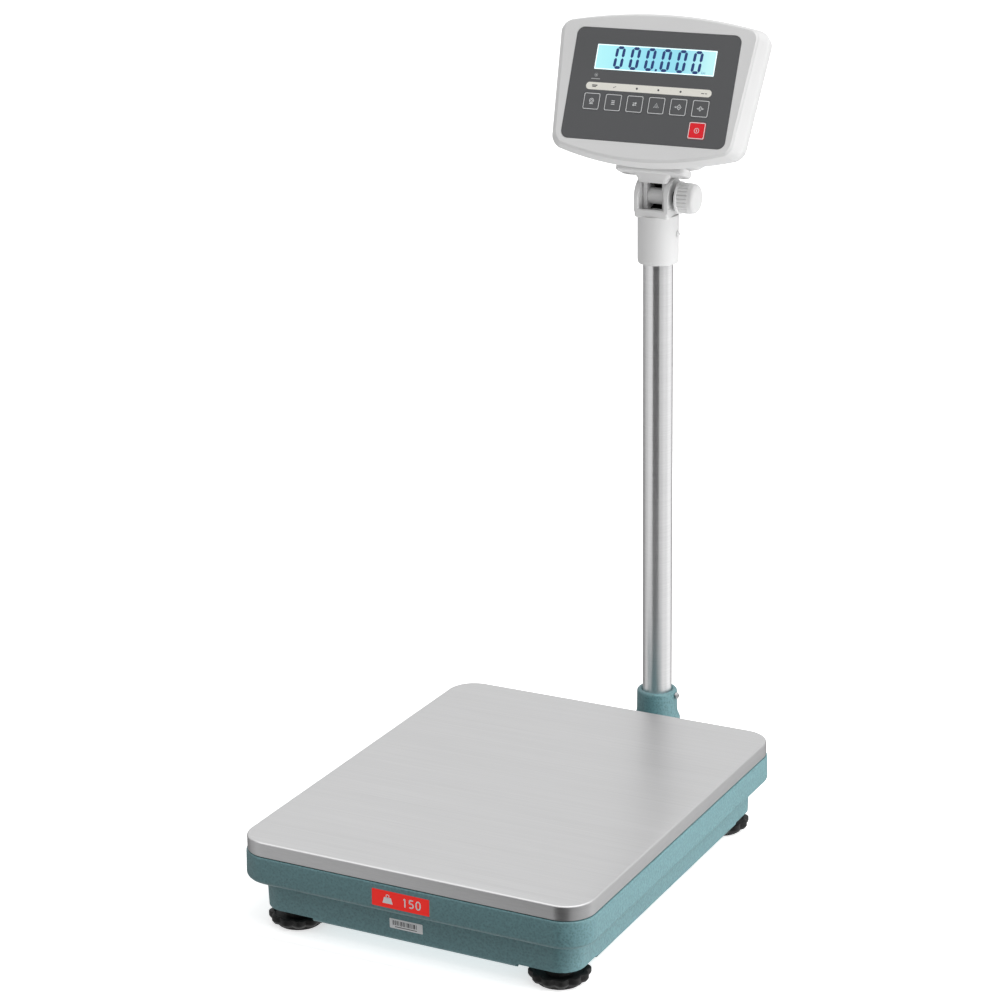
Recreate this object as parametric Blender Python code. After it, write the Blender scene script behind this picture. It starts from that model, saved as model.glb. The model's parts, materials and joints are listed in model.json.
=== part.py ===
"""Column bench scale, modelled as an assembly of separate pieces.

Metres, +Z up. X runs along the platter's front edge, Y from the front edge towards the column.
The origin is on the floor, under the middle of the whole scale's box.
"""
import math

import bmesh
import bpy
from mathutils import Matrix, Vector

# ---- driving dimensions, in metres ----
GAP = 0.0003                    # clearance between pieces that touch

PLATTER_WIDTH = 0.400
PLATTER_DEPTH = 0.500
PLATTER_TOP = 0.1048            # height of the weighing surface
PLATTER_SKIRT = 0.0157
PLATTER_SHEET = 0.0012
PLATTER_CORNER = 0.032

BASE_LIP = 0.002                # how far the base band stands out past the platter
BASE_TOP = 0.0882
BASE_BAND_BOTTOM = 0.0572
BASE_TIER_INSET = 0.0186        # lower tier, in from the band
BASE_BOTTOM = 0.0185
BASE_WALL = 0.0035
BASE_FLOOR_TOP = 0.0300
BASE_CORNER = 0.034
CORNER_NOTCH = (0.119, 0.178)   # where the base's lower edge steps up, over each foot
CORNER_NOTCH_TOP = 0.0225

FOOT_X = 0.1533
FOOT_Y = 0.2048
FOOT_RADIUS = 0.0322
FOOT_LOBES = 12
FOOT_TOP = 0.0180                # top of the wheel's hub
FOOT_RIM = 0.0136                # top of the wheel's rim
FOOT_HUB_RADIUS = 0.0140
SOLE_RADIUS = 0.0240
SOLE_HEIGHT = 0.0040
STUD_RADIUS = 0.0050
BOSS_RADIUS = 0.0140
BOSS_TOP = 0.0460

CELL_LENGTH = 0.150
CELL_WIDTH = 0.040
CELL_BOTTOM = 0.0353
CELL_TOP = 0.0693
CELL_HOLE_RADIUS = 0.0105
CELL_HOLE_SPREAD = 0.018
CELL_SEAT_LENGTH = 0.038
CELL_BOLT_OFFSET = 0.056        # bolt row, from the cell's middle
CELL_BOLT_X = 0.010
TAPPED_RADIUS = 0.0033          # holes that a bolt's thread takes
CLEAR_RADIUS = 0.0043           # holes that a bolt passes through
BOLT_SHANK = 0.0030

SPIDER_BOTTOM = 0.0746
SPIDER_TOP = 0.0946
SPIDER_HALF_X = 0.170
SPIDER_HALF_Y = 0.220
SPIDER_ARM = 0.026
PAD_X = 0.152
PAD_Y = 0.200
PAD_RADIUS = 0.013
STOP_X = 0.110
STOP_Y = 0.150
SPIDER_POCKET = 0.006            # depth of the seats for bolt heads in the spider

COLUMN_BEHIND = 0.1197          # column axis, behind the platter's back edge
COLUMN_RADIUS = 0.0173
COLUMN_WALL = 0.0015
COLUMN_BOTTOM = 0.0520
COLUMN_TOP = 0.6480
SOCKET_RADIUS = 0.0242
SOCKET_TOP = 0.0852
ARM_TOP = 0.0540
ARM_BOTTOM = 0.0220
ARM_CABLE_RADIUS = 0.0090
ARM_CABLE_HEIGHT = 0.0400
ARM_BOLT_X = 0.048
ARM_BOLT_HEIGHT = 0.0380
CABLE_HOLE_RADIUS = 0.0073
SOCKET_SCREW_HEIGHT = 0.0790
CABLE_RADIUS = 0.00225

COLLAR_RADIUS = 0.0236
COLLAR_BOTTOM = 0.6054
COLLAR_SCREW_HEIGHT = 0.6400
YOKE_BOTTOM = 0.6600
YOKE_HALF_WIDTH = 0.0208
YOKE_INNER = 0.0152
YOKE_HALF_DEPTH = 0.0215
YOKE_FLOOR = 0.6640
YOKE_LIP_TOP = 0.6695
TILT_HEIGHT = 0.6820            # height of the tilt axis
TONGUE_RADIUS = 0.0172
TONGUE_INNER = 0.0092
TONGUE_OUTER = 0.0149
TONGUE_FRONT = 0.0098           # front face of the tongues, ahead of the tilt axis
NECK_CLEARANCE = 0.0223         # radius kept free around the tilt axis, above the yoke
TILT_BOLT_RADIUS = 0.0040
SLEEVE_RADIUS = 0.0093
WASHER_RADIUS = 0.0085
WASHER_END = 0.0262
KNOB_START = 0.0265
KNOB_END = 0.0488
KNOB_RADIUS = 0.0174
KNOB_RIBS = 24

FACE_LEAN = math.radians(22.84)  # the display leans back from upright
FACE_FORWARD = 0.0227            # overlay centre, in front of the column axis
FACE_HEIGHT = 0.8088
OVERLAY_WIDTH = 0.1998
OVERLAY_HEIGHT = 0.1275
OVERLAY_CORNER = 0.009
RECESS_FLOOR = -0.0012
SHELL_WALL = 0.0025
HOUSING_BACK = -0.0750
SLAB_TOP = -0.0809               # the bracket's slab, under the housing
SLAB_THICKNESS = 0.0082
SLAB_HALF_X = 0.0425
SLAB_HALF_W = 0.0140
SLAB_MIDDLE = -0.0460            # the slab's middle, behind the face
SLAB_SCREW_SEAT = 0.0045         # depth of the seats for the slab's screw heads
PARTING = -0.0260
LCD_CENTRE = (0.0007, 0.0310)
LCD_SIZE = (0.1460, 0.0290)
KEY_SIZE = (0.0200, 0.0190)
KEY_TRAVEL = 0.0005
KEY_ROW_HEIGHT = -0.0204
KEY_PITCH = 0.02656
KEY_FIRST = -0.0684
POWER_KEY = (0.0643, -0.0450)
KEY_STEM = (0.0060, 0.0055)      # half sizes of a key's stem
KEY_HOLE = (0.0070, 0.0065)      # and of its hole in the housing
KEY_NAMES = ("print", "function", "unit", "total", "tare", "zero")
BOARD_FRONT = -0.0086

# ---- derived places ----
HOUSING_BACK_TOP = 0.047         # top of the flat back, along the display's own upright
HEAD_BACK = (COLUMN_BEHIND - FACE_FORWARD + math.sin(FACE_LEAN) * HOUSING_BACK_TOP
             - math.cos(FACE_LEAN) * HOUSING_BACK)
PLATTER_BACK = (PLATTER_DEPTH - HEAD_BACK + BASE_LIP) / 2
MIDDLE = PLATTER_BACK - PLATTER_DEPTH / 2          # Y of the platter's centre
COLUMN_Y = PLATTER_BACK + COLUMN_BEHIND
BASE_HALF_X = PLATTER_WIDTH / 2 + BASE_LIP
BASE_HALF_Y = PLATTER_DEPTH / 2 + BASE_LIP
TIER_HALF_X = BASE_HALF_X - BASE_TIER_INSET
TIER_HALF_Y = BASE_HALF_Y - BASE_TIER_INSET

ROUND = 24                       # sides of a round piece


# ---- frames ----
def upright(x, y, z):
    """Frame standing at a point, its Z up."""
    return Matrix.Translation((x, y, z))


def along_x(x, y, z):
    """Frame at a point whose Z runs along +X."""
    return Matrix.Translation((x, y, z)) @ Matrix.Rotation(math.pi / 2, 4, "Y")


def along_y(x, y, z):
    """Frame at a point whose Z runs along +Y."""
    return Matrix.Translation((x, y, z)) @ Matrix.Rotation(-math.pi / 2, 4, "X")


def down(x, y, z):
    """Frame at a point whose Z runs down."""
    return Matrix.Translation((x, y, z)) @ Matrix.Rotation(math.pi, 4, "X")


FACE = (Matrix.Translation((0, COLUMN_Y - FACE_FORWARD, FACE_HEIGHT))
        @ Matrix.Rotation(math.pi / 2 - FACE_LEAN, 4, "X"))
TILT_AXIS = Vector((0, COLUMN_Y, TILT_HEIGHT))


# ---- outlines, each a closed loop of points at one height ----
def circle(radius, height, steps=ROUND):
    turn = 2 * math.pi / steps
    return [(radius * math.cos(i * turn), radius * math.sin(i * turn), height)
            for i in range(steps)]


def lobed(radius, depth, height, lobes, steps_per_lobe=2):
    """A scalloped circle: full radius on each lobe, less the depth between lobes."""
    steps = lobes * steps_per_lobe
    points = []
    for i in range(steps):
        angle = 2 * math.pi * i / steps
        wave = 1 - abs(math.cos(lobes * angle / 2)) ** 1.5
        reach = radius - depth * wave
        points.append((reach * math.cos(angle), reach * math.sin(angle), height))
    return points


def rectangle(half_x, half_y, radius, height, corner_steps=4, edge_steps=(1, 1)):
    """A rectangle with round corners, anticlockwise from the +X side's top."""
    points = []
    for sign_x, sign_y, start, steps in ((1, 1, 0, edge_steps[0]), (-1, 1, 90, edge_steps[1]),
                                         (-1, -1, 180, edge_steps[0]), (1, -1, 270, edge_steps[1])):
        for i in range(corner_steps + 1):
            angle = math.radians(start + 90 * i / corner_steps)
            points.append((sign_x * (half_x - radius) + radius * math.cos(angle),
                           sign_y * (half_y - radius) + radius * math.sin(angle), height))
        end = Vector(points[-1])
        span = 2 * (half_x - radius) if start in (0, 180) else 2 * (half_y - radius)
        angle = math.radians(start + 180)
        for i in range(1, steps):
            step = Vector((math.cos(angle), math.sin(angle), 0)) * span * i / steps
            points.append(tuple(end + step))
    return points


def housing_outline(half_top, half_bottom, top, bottom, crown_top, crown_bottom, corner, depth):
    """The display housing's outline: tapered towards the bottom, crowned above and below."""
    half_mean = (half_top + half_bottom) / 2
    half_height = (top - bottom) / 2
    middle = (top + bottom) / 2
    points = []
    for x, y, z in rectangle(half_mean, half_height, corner, depth, 3, (8, 2)):
        rise = y / half_height
        across = x / half_mean
        x = across * (half_mean + (half_top - half_bottom) / 2 * rise)
        crown = crown_top if rise > 0 else -crown_bottom
        points.append((x, middle + y + crown * (1 - across * across) * rise * rise, z))
    return points


# ---- meshes ----
def loft(rings, ring_shaped=False):
    """Joins loops of equal length. A ring-shaped loft closes on itself; others get end caps."""
    bm = bmesh.new()
    loops = [[bm.verts.new(point) for point in ring] for ring in rings]
    pairs = list(zip(loops, loops[1:]))
    if ring_shaped:
        pairs.append((loops[-1], loops[0]))
    else:
        bm.faces.new(loops[0])
        bm.faces.new(loops[-1])
    for low, high in pairs:
        for i in range(len(low)):
            j = (i + 1) % len(low)
            bm.faces.new((low[i], low[j], high[j], high[i]))
    bmesh.ops.recalc_face_normals(bm, faces=bm.faces)
    return bm


def turned(profile, steps=ROUND, ring_shaped=False):
    """A body turned about Z from (radius, height) pairs."""
    return loft([circle(radius, height, steps) for radius, height in profile], ring_shaped)


def block(low, high, radius=0.0008, corner_steps=2):
    """A block between two corners, its upright edges rounded."""
    half_x = (high[0] - low[0]) / 2
    half_y = (high[1] - low[1]) / 2
    bm = loft([rectangle(half_x, half_y, radius, z, corner_steps) for z in (low[2], high[2])])
    middle = Vector(((low[0] + high[0]) / 2, (low[1] + high[1]) / 2, 0))
    bmesh.ops.translate(bm, verts=bm.verts, vec=middle)
    return bm


def extruded(outline, low, high):
    """A flat outline of (x, y) pairs, extruded between two heights."""
    return loft([[(x, y, z) for x, y in outline] for z in (low, high)])


# ---- objects ----
def material(name, colour, roughness, metallic=0.0):
    mat = bpy.data.materials.new(name)
    mat.use_nodes = True
    shader = mat.node_tree.nodes["Principled BSDF"]
    shader.inputs["Base Color"].default_value = (*colour, 1.0)
    shader.inputs["Roughness"].default_value = roughness
    shader.inputs["Metallic"].default_value = metallic
    mat.diffuse_color = (*colour, 1.0)
    return mat


def put(name, bm, frame, mat, parent=None):
    """Makes the named object from a mesh, stands it in its frame, and shades it smooth."""
    mesh = bpy.data.meshes.new(name)
    bm.to_mesh(mesh)
    bm.free()
    mesh.shade_smooth()
    mesh.set_sharp_from_angle(angle=math.radians(35))
    obj = bpy.data.objects.new(name, mesh)
    bpy.context.scene.collection.objects.link(obj)
    if mat:
        mesh.materials.append(mat)
    if parent:
        obj.parent = parent
        obj.matrix_parent_inverse = Matrix.Translation(-parent.location)
    obj.matrix_world = frame
    return obj


def tool(owner, bm, frame, operation):
    """A hidden body that the owner's Boolean takes away, or adds."""
    cutter = put(f"{owner.name}_tool_{len(owner.modifiers)}", bm, frame, None)
    cutter.hide_render = True
    cutter.display_type = "WIRE"
    step = owner.modifiers.new(operation.lower(), "BOOLEAN")
    step.operation = operation
    step.solver = "EXACT"
    step.object = cutter


def cut(owner, bm, frame):
    tool(owner, bm, frame, "DIFFERENCE")


def add(owner, bm, frame):
    tool(owner, bm, frame, "UNION")


def rod(radius, low, high, steps=ROUND):
    return turned([(radius, low), (radius, high)], steps)


def axis_empty(name, place):
    empty = bpy.data.objects.new(name, None)
    empty.location = place
    bpy.context.scene.collection.objects.link(empty)
    bpy.context.view_layer.update()
    return empty


def bolt(name, frame, mat, head_radius, head_height, shank_radius, shank_length, sides=6):
    """A bolt whose head starts at the frame's origin and whose shank runs along its -Z."""
    chamfer = head_height * 0.2
    head = loft([circle(head_radius, 0, sides), circle(head_radius, head_height - chamfer, sides),
                 circle(head_radius - chamfer, head_height, sides)])
    obj = put(name, head, frame, mat)
    add(obj, rod(shank_radius, -shank_length, head_height / 2, 12), frame)
    return obj


# ---- the base ----
def base_ring(half_x, height):
    """One loop of the base, set in from the band on all sides by the same amount."""
    inset = BASE_HALF_X - half_x
    return rectangle(half_x, BASE_HALF_Y - inset, BASE_CORNER - inset * 0.45, height, 5)


def base_casting(mat):
    tier = TIER_HALF_X
    band = BASE_HALF_X
    low = BASE_BAND_BOTTOM
    floor_bottom = BASE_FLOOR_TOP - BASE_WALL
    rings = [base_ring(tier - 0.0060, floor_bottom),
             base_ring(tier - 0.0050, BASE_BOTTOM),
             base_ring(tier - 0.0026, BASE_BOTTOM),
             base_ring(tier - 0.0008, BASE_BOTTOM + 0.0010),
             base_ring(tier, BASE_BOTTOM + 0.0034),
             base_ring(tier + 0.0010, low - 0.0080),
             base_ring(tier + 0.0030, low - 0.0030),
             base_ring(tier + 0.0080, low - 0.0006),
             base_ring(band - 0.0050, low),
             base_ring(band - 0.0016, low + 0.0014),
             base_ring(band, low + 0.0056),
             base_ring(band - 0.0006, BASE_TOP - 0.0018),
             base_ring(band - 0.0018, BASE_TOP),
             base_ring(band - 0.0034, BASE_TOP),
             base_ring(band - 0.0040, BASE_TOP - 0.0012),
             base_ring(band - 0.0046, low + BASE_WALL + 0.0010),
             base_ring(tier - 0.0020, low + BASE_WALL),
             base_ring(tier - BASE_WALL, low + BASE_WALL - 0.0040),
             base_ring(tier - BASE_WALL - 0.0008, BASE_FLOOR_TOP)]
    frame = upright(0, MIDDLE, 0)
    base = put("base_casting", loft(rings), frame, mat)
    for sign_x in (-1, 1):
        for sign_y in (-1, 1):
            notch = block((0, 0, 0), (0.10, 0.10, CORNER_NOTCH_TOP - 0.01), 0.003, 3)
            x = CORNER_NOTCH[0] if sign_x > 0 else -CORNER_NOTCH[0] - 0.10
            y = CORNER_NOTCH[1] if sign_y > 0 else -CORNER_NOTCH[1] - 0.10
            cut(base, notch, frame @ upright(x, y, 0.01))
            foot = frame @ upright(sign_x * FOOT_X, sign_y * FOOT_Y, 0)
            add(base, rod(BOSS_RADIUS, CORNER_NOTCH_TOP + 0.0002, BOSS_TOP, 16), foot)
            cut(base, rod(STUD_RADIUS + GAP, 0, BOSS_TOP + 0.01, 16), foot)
        stop = frame @ upright(sign_x * STOP_X, -STOP_Y, 0)
        add(base, rod(0.008, BASE_FLOOR_TOP - 0.001, 0.037, 12), stop)
        cell_hole = frame @ upright(sign_x * CELL_BOLT_X, CELL_BOLT_OFFSET, 0)
        cut(base, rod(CLEAR_RADIUS, 0.02, 0.04, 12), cell_hole)
        arm_hole = along_y(sign_x * ARM_BOLT_X, MIDDLE + TIER_HALF_Y - 0.010, ARM_BOLT_HEIGHT)
        cut(base, rod(TAPPED_RADIUS, 0, 0.02, 12), arm_hole)
    cut(base, rod(CABLE_HOLE_RADIUS, 0, 0.02, 16),
        along_y(0, MIDDLE + TIER_HALF_Y - 0.010, ARM_CABLE_HEIGHT))
    return base


# ---- the weighing works ----
def load_cell(mat):
    half = CELL_LENGTH / 2
    cell = put("load_cell", block((-CELL_WIDTH / 2, -half, CELL_BOTTOM),
                                  (CELL_WIDTH / 2, half, CELL_TOP)), upright(0, MIDDLE, 0), mat)
    height = (CELL_BOTTOM + CELL_TOP) / 2
    for sign in (-1, 1):
        place = along_x(-0.03, MIDDLE + sign * CELL_HOLE_SPREAD, height)
        cut(cell, rod(CELL_HOLE_RADIUS, 0, 0.06, 20), place)
    cut(cell, block((-0.03, -CELL_HOLE_SPREAD, -0.004), (0.03, CELL_HOLE_SPREAD, 0.004), 0.0005, 1),
        upright(0, MIDDLE, height))
    for sign in (-1, 1):
        cut(cell, rod(TAPPED_RADIUS, CELL_BOTTOM - 0.002, CELL_BOTTOM + 0.012, 12),
            upright(sign * CELL_BOLT_X, MIDDLE + CELL_BOLT_OFFSET, 0))
        cut(cell, rod(TAPPED_RADIUS, CELL_TOP - 0.012, CELL_TOP + 0.002, 12),
            upright(sign * CELL_BOLT_X, MIDDLE - CELL_BOLT_OFFSET, 0))


def cell_plates(mat, bolt_mat):
    """A spacer plate under the fixed end and one on the free end, with their bolts."""
    half = CELL_WIDTH / 2
    for name, side, low, high in (("cell_seat_plate", 1, BASE_FLOOR_TOP + GAP, CELL_BOTTOM - GAP),
                                  ("cell_top_plate", -1, CELL_TOP + GAP, SPIDER_BOTTOM - GAP)):
        near = CELL_LENGTH / 2 - CELL_SEAT_LENGTH
        plate = put(name, block((-half, near, low), (half, near + CELL_SEAT_LENGTH, high)),
                    upright(0, MIDDLE, 0) if side > 0 else
                    upright(0, MIDDLE, 0) @ Matrix.Rotation(math.pi, 4, "Z"), mat)
        for sign in (-1, 1):
            cut(plate, rod(CLEAR_RADIUS, low - 0.002, high + 0.002, 12),
                upright(sign * CELL_BOLT_X, MIDDLE + side * CELL_BOLT_OFFSET, 0))
    for number, sign in ((1, -1), (2, 1)):
        bolt(f"base_cell_bolt_{number}",
             down(sign * CELL_BOLT_X, MIDDLE + CELL_BOLT_OFFSET, BASE_FLOOR_TOP - BASE_WALL - GAP),
             bolt_mat, 0.0065, 0.0045, BOLT_SHANK, 0.0180)
        bolt(f"spider_cell_bolt_{number}",
             upright(sign * CELL_BOLT_X, MIDDLE - CELL_BOLT_OFFSET, SPIDER_TOP - SPIDER_POCKET + GAP),
             bolt_mat, 0.0065, 0.0045, BOLT_SHANK, 0.0260)


def spider_frame(mat):
    """A cast frame: a middle bar along Y and a cross arm at each end, pads at the four tips."""
    half_y = SPIDER_HALF_Y
    arm = SPIDER_ARM / 2
    waist = 0.040
    outline = [(waist, -half_y + 2 * arm + 0.03), (waist + 0.02, -half_y + 2 * arm),
               (SPIDER_HALF_X, -half_y + 2 * arm), (SPIDER_HALF_X, -half_y),
               (-SPIDER_HALF_X, -half_y), (-SPIDER_HALF_X, -half_y + 2 * arm),
               (-waist - 0.02, -half_y + 2 * arm), (-waist, -half_y + 2 * arm + 0.03)]
    outline += [(-x, -y) for x, y in outline]
    frame = upright(0, MIDDLE, 0)
    spider = put("spider_frame", extruded(outline, SPIDER_BOTTOM, SPIDER_TOP), frame, mat)
    for sign in (-1, 1):
        window = block((-0.024, -0.045, 0.06), (0.024, 0.045, 0.12), 0.008, 4)
        cut(spider, window, frame @ upright(0, sign * 0.135, 0))
        hole = frame @ upright(sign * CELL_BOLT_X, -CELL_BOLT_OFFSET, 0)
        cut(spider, rod(TAPPED_RADIUS, 0.06, 0.12, 12), hole)
        stop = frame @ upright(sign * STOP_X, -STOP_Y, 0)
        add(spider, block((-0.016, -0.052, SPIDER_BOTTOM), (0.016, 0.012, SPIDER_TOP - SPIDER_POCKET),
                          0.006, 4), stop)
        cut(spider, rod(TAPPED_RADIUS, 0.05, 0.12, 12), stop)
    cut(spider, block((-0.024, -0.022, SPIDER_TOP - SPIDER_POCKET), (0.024, 0.022, 0.12), 0.004, 3),
        frame @ upright(0, -CELL_BOLT_OFFSET, 0))


def overload_stops(mat):
    for number, sign in ((1, -1), (2, 1)):
        bolt(f"overload_stop_{number}",
             upright(sign * STOP_X, MIDDLE - STOP_Y, SPIDER_TOP - SPIDER_POCKET + GAP),
             mat, 0.0055, 0.0040, BOLT_SHANK, 0.0510)


def platter_pads(mat):
    number = 0
    for sign_x in (-1, 1):
        for sign_y in (-1, 1):
            number += 1
            top = PLATTER_TOP - PLATTER_SHEET - GAP
            low = SPIDER_TOP + GAP
            put(f"platter_pad_{number}",
                turned([(PAD_RADIUS, low), (PAD_RADIUS, low + 0.003), (PAD_RADIUS - 0.002, top)], 16),
                upright(sign_x * PAD_X, MIDDLE + sign_y * PAD_Y, 0), mat)


def platter(mat):
    half_x = PLATTER_WIDTH / 2
    half_y = PLATTER_DEPTH / 2
    bottom = -PLATTER_SKIRT

    def ring(inset, height):
        return rectangle(half_x - inset, half_y - inset, PLATTER_CORNER - inset, height, 6)

    sheet = PLATTER_SHEET
    rings = [ring(sheet + 0.0010, -sheet), ring(sheet + 0.0003, -sheet - 0.0003),
             ring(sheet, -sheet - 0.0010), ring(sheet, bottom), ring(0, bottom),
             ring(0, -0.0022), ring(0.0007, -0.0007), ring(0.0022, 0)]
    put("platter", loft(rings), upright(0, MIDDLE, PLATTER_TOP), mat)


# ---- the feet ----
def feet(wheel_mat, sole_mat):
    """Each foot: a scalloped hand wheel on a threaded stud, and a sole that doesn't turn."""
    number = 0
    for sign_y in (-1, 1):
        for sign_x in (-1, 1):
            number += 1
            place = upright(sign_x * FOOT_X, MIDDLE + sign_y * FOOT_Y, 0)
            low = SOLE_HEIGHT + GAP
            radius = FOOT_RADIUS
            rings = [lobed(radius - 0.0026, 0.0026, low, FOOT_LOBES),
                     lobed(radius - 0.0012, 0.0032, low + 0.0010, FOOT_LOBES),
                     lobed(radius - 0.0002, 0.0034, low + 0.0034, FOOT_LOBES),
                     lobed(radius, 0.0034, FOOT_RIM - 0.0022, FOOT_LOBES),
                     lobed(radius - 0.0008, 0.0024, FOOT_RIM - 0.0006, FOOT_LOBES),
                     lobed(radius - 0.0030, 0.0008, FOOT_RIM, FOOT_LOBES),
                     lobed(radius - 0.0056, 0, FOOT_RIM - 0.0006, FOOT_LOBES),
                     lobed(radius - 0.0070, 0, FOOT_RIM - 0.0030, FOOT_LOBES),
                     lobed(FOOT_HUB_RADIUS + 0.0016, 0, FOOT_RIM - 0.0026, FOOT_LOBES),
                     lobed(FOOT_HUB_RADIUS, 0, FOOT_RIM - 0.0014, FOOT_LOBES),
                     lobed(FOOT_HUB_RADIUS - 0.0004, 0, FOOT_TOP - 0.0008, FOOT_LOBES),
                     lobed(FOOT_HUB_RADIUS - 0.0014, 0, FOOT_TOP, FOOT_LOBES),
                     lobed(STUD_RADIUS + 0.0006, 0, FOOT_TOP, FOOT_LOBES),
                     lobed(STUD_RADIUS, 0, FOOT_TOP + 0.0006, FOOT_LOBES),
                     lobed(STUD_RADIUS, 0, BOSS_TOP + 0.0020, FOOT_LOBES)]
            put(f"foot_wheel_{number}", loft(rings), place, wheel_mat)
            put(f"foot_sole_{number}",
                turned([(SOLE_RADIUS - 0.0010, 0), (SOLE_RADIUS, 0.0010), (SOLE_RADIUS, 0.0030),
                        (SOLE_RADIUS - 0.0010, SOLE_HEIGHT)], 28), place, sole_mat)


# ---- the column ----
def column_arm(mat):
    """A cast arm from the base's back wall, ending in the socket that holds the column."""
    wall = MIDDLE + TIER_HALF_Y + 0.0016
    reach = COLUMN_Y - wall
    middle_z = (ARM_BOTTOM + ARM_TOP) / 2
    half_z = (ARM_TOP - ARM_BOTTOM) / 2
    frame = along_y(0, wall, middle_z)
    rings = [rectangle(0.062, half_z - 0.004, 0.006, 0),
             rectangle(0.062, half_z - 0.004, 0.006, 0.005),
             rectangle(0.040, half_z - 0.005, 0.008, 0.005),
             rectangle(0.034, half_z - 0.003, 0.008, 0.030),
             rectangle(0.029, half_z - 0.003, 0.008, reach)]
    arm = put("column_arm", loft(rings), frame, mat)
    socket = [(0.0265, ARM_BOTTOM), (0.0275, ARM_BOTTOM + 0.001), (0.0275, ARM_TOP - 0.005),
              (0.0268, ARM_TOP - 0.0025), (SOCKET_RADIUS + 0.0006, ARM_TOP + 0.0010),
              (SOCKET_RADIUS, 0.0600),
              (SOCKET_RADIUS - 0.0002, SOCKET_TOP - 0.0040),
              (SOCKET_RADIUS - 0.0014, SOCKET_TOP - 0.0013), (SOCKET_RADIUS - 0.0042, SOCKET_TOP)]
    column = upright(0, COLUMN_Y, 0)
    add(arm, turned(socket, 28), column)
    cut(arm, turned([(0.0150, 0.0300), (0.0150, COLUMN_BOTTOM - GAP),
                     (COLUMN_RADIUS + GAP, COLUMN_BOTTOM - GAP),
                     (COLUMN_RADIUS + GAP, SOCKET_TOP - 0.0022),
                     (COLUMN_RADIUS + 0.0026, SOCKET_TOP + 0.0004),
                     (COLUMN_RADIUS + 0.0026, SOCKET_TOP + 0.01)], 28), column)
    cut(arm, rod(ARM_CABLE_RADIUS, -0.01, reach, 16), along_y(0, wall, ARM_CABLE_HEIGHT))
    cut(arm, rod(0.0024, 0, 0.03, 12), along_x(COLUMN_RADIUS - 0.002, COLUMN_Y, SOCKET_SCREW_HEIGHT))
    for sign in (-1, 1):
        cut(arm, rod(TAPPED_RADIUS, -0.01, 0.02, 12), along_y(sign * ARM_BOLT_X, wall, ARM_BOLT_HEIGHT))
    return wall


def arm_fixings(wall, bolt_mat, rubber):
    for number, sign in ((1, -1), (2, 1)):
        place = along_y(sign * ARM_BOLT_X, wall + 0.005 + GAP, ARM_BOLT_HEIGHT)
        bolt(f"arm_bolt_{number}", place, bolt_mat, 0.0058, 0.0040, BOLT_SHANK, 0.0130)
    hub = SOCKET_RADIUS + GAP
    frame = along_x(hub, COLUMN_Y, SOCKET_SCREW_HEIGHT)
    screw = put("socket_screw", turned([(0.0040, 0), (0.0040, 0.0020), (0.0026, 0.0032)], 16),
                frame, bolt_mat)
    add(screw, rod(0.0021, -(hub - COLUMN_RADIUS - GAP), 0.001, 12), frame)
    cut(screw, rod(0.0013, 0.0016, 0.01, 6), frame)
    inner = CABLE_RADIUS + GAP
    wall_in = -0.0058
    grommet = [(inner, wall_in), (0.0092, wall_in), (0.0092, wall_in + 0.0008),
               (0.0070, wall_in + 0.0008), (0.0070, 0.0004), (inner, 0.0004)]
    put("cable_grommet", turned(grommet, 24, True),
        along_y(0, MIDDLE + TIER_HALF_Y + 0.0004, ARM_CABLE_HEIGHT), rubber)


def column_tube(mat):
    inner = COLUMN_RADIUS - COLUMN_WALL
    profile = [(inner, COLUMN_BOTTOM), (COLUMN_RADIUS, COLUMN_BOTTOM),
               (COLUMN_RADIUS, COLUMN_TOP), (inner, COLUMN_TOP)]
    put("column_tube", turned(profile, 32, True), upright(0, COLUMN_Y, 0), mat)


def smooth_route(points, spacing):
    """Points read at even steps from a smooth curve through the given ones."""
    route = [Vector(point) for point in points]
    route = [route[0] * 2 - route[1]] + route + [route[-1] * 2 - route[-2]]
    fine = []
    for i in range(1, len(route) - 2):
        before, start, end, after = route[i - 1:i + 3]
        for step in range(24):
            t = step / 24
            fine.append(0.5 * (2 * start + (end - before) * t
                               + (2 * before - 5 * start + 4 * end - after) * t * t
                               + (3 * start - before - 3 * end + after) * t ** 3))
    fine.append(route[-2])
    picked = [fine[0]]
    travelled = 0.0
    for last, point in zip(fine, fine[1:]):
        travelled += (point - last).length
        if travelled >= spacing:
            picked.append(point)
            travelled = 0.0
    if (picked[-1] - fine[-1]).length > spacing * 0.4:
        picked.append(fine[-1])
    else:
        picked[-1] = fine[-1]
    return picked


def cell_cable(mat):
    """The load cell's lead: over the base's floor, through the arm, then up the column."""
    start = MIDDLE + CELL_LENGTH / 2 + GAP
    wall = MIDDLE + TIER_HALF_Y
    points = [(0, start, 0.0520), (0, start + 0.020, 0.0510), (0, start + 0.045, 0.0440),
              (0, start + 0.080, 0.0405), (0, wall - 0.012, 0.0400), (0, wall, 0.0400),
              (0, wall + 0.020, 0.0400), (0, wall + 0.070, 0.0385), (0, COLUMN_Y - 0.024, 0.0366),
              (0, COLUMN_Y - 0.010, 0.0392), (0, COLUMN_Y - 0.001, 0.0480),
              (0, COLUMN_Y + 0.002, 0.0620), (0, COLUMN_Y + 0.001, 0.0900),
              (0, COLUMN_Y, 0.2500), (0, COLUMN_Y, 0.4500), (0, COLUMN_Y, COLUMN_TOP - 0.004)]
    curve = bpy.data.curves.new("cell_cable", "CURVE")
    curve.dimensions = "3D"
    curve.bevel_depth = CABLE_RADIUS
    curve.bevel_resolution = 2
    curve.use_fill_caps = True
    spline = curve.splines.new("POLY")
    route = smooth_route(points, 0.0150)
    spline.points.add(len(route) - 1)
    for target, point in zip(spline.points, route):
        target.co = (*point, 1.0)
    obj = bpy.data.objects.new("cell_cable", curve)
    curve.materials.append(mat)
    bpy.context.scene.collection.objects.link(obj)


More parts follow.
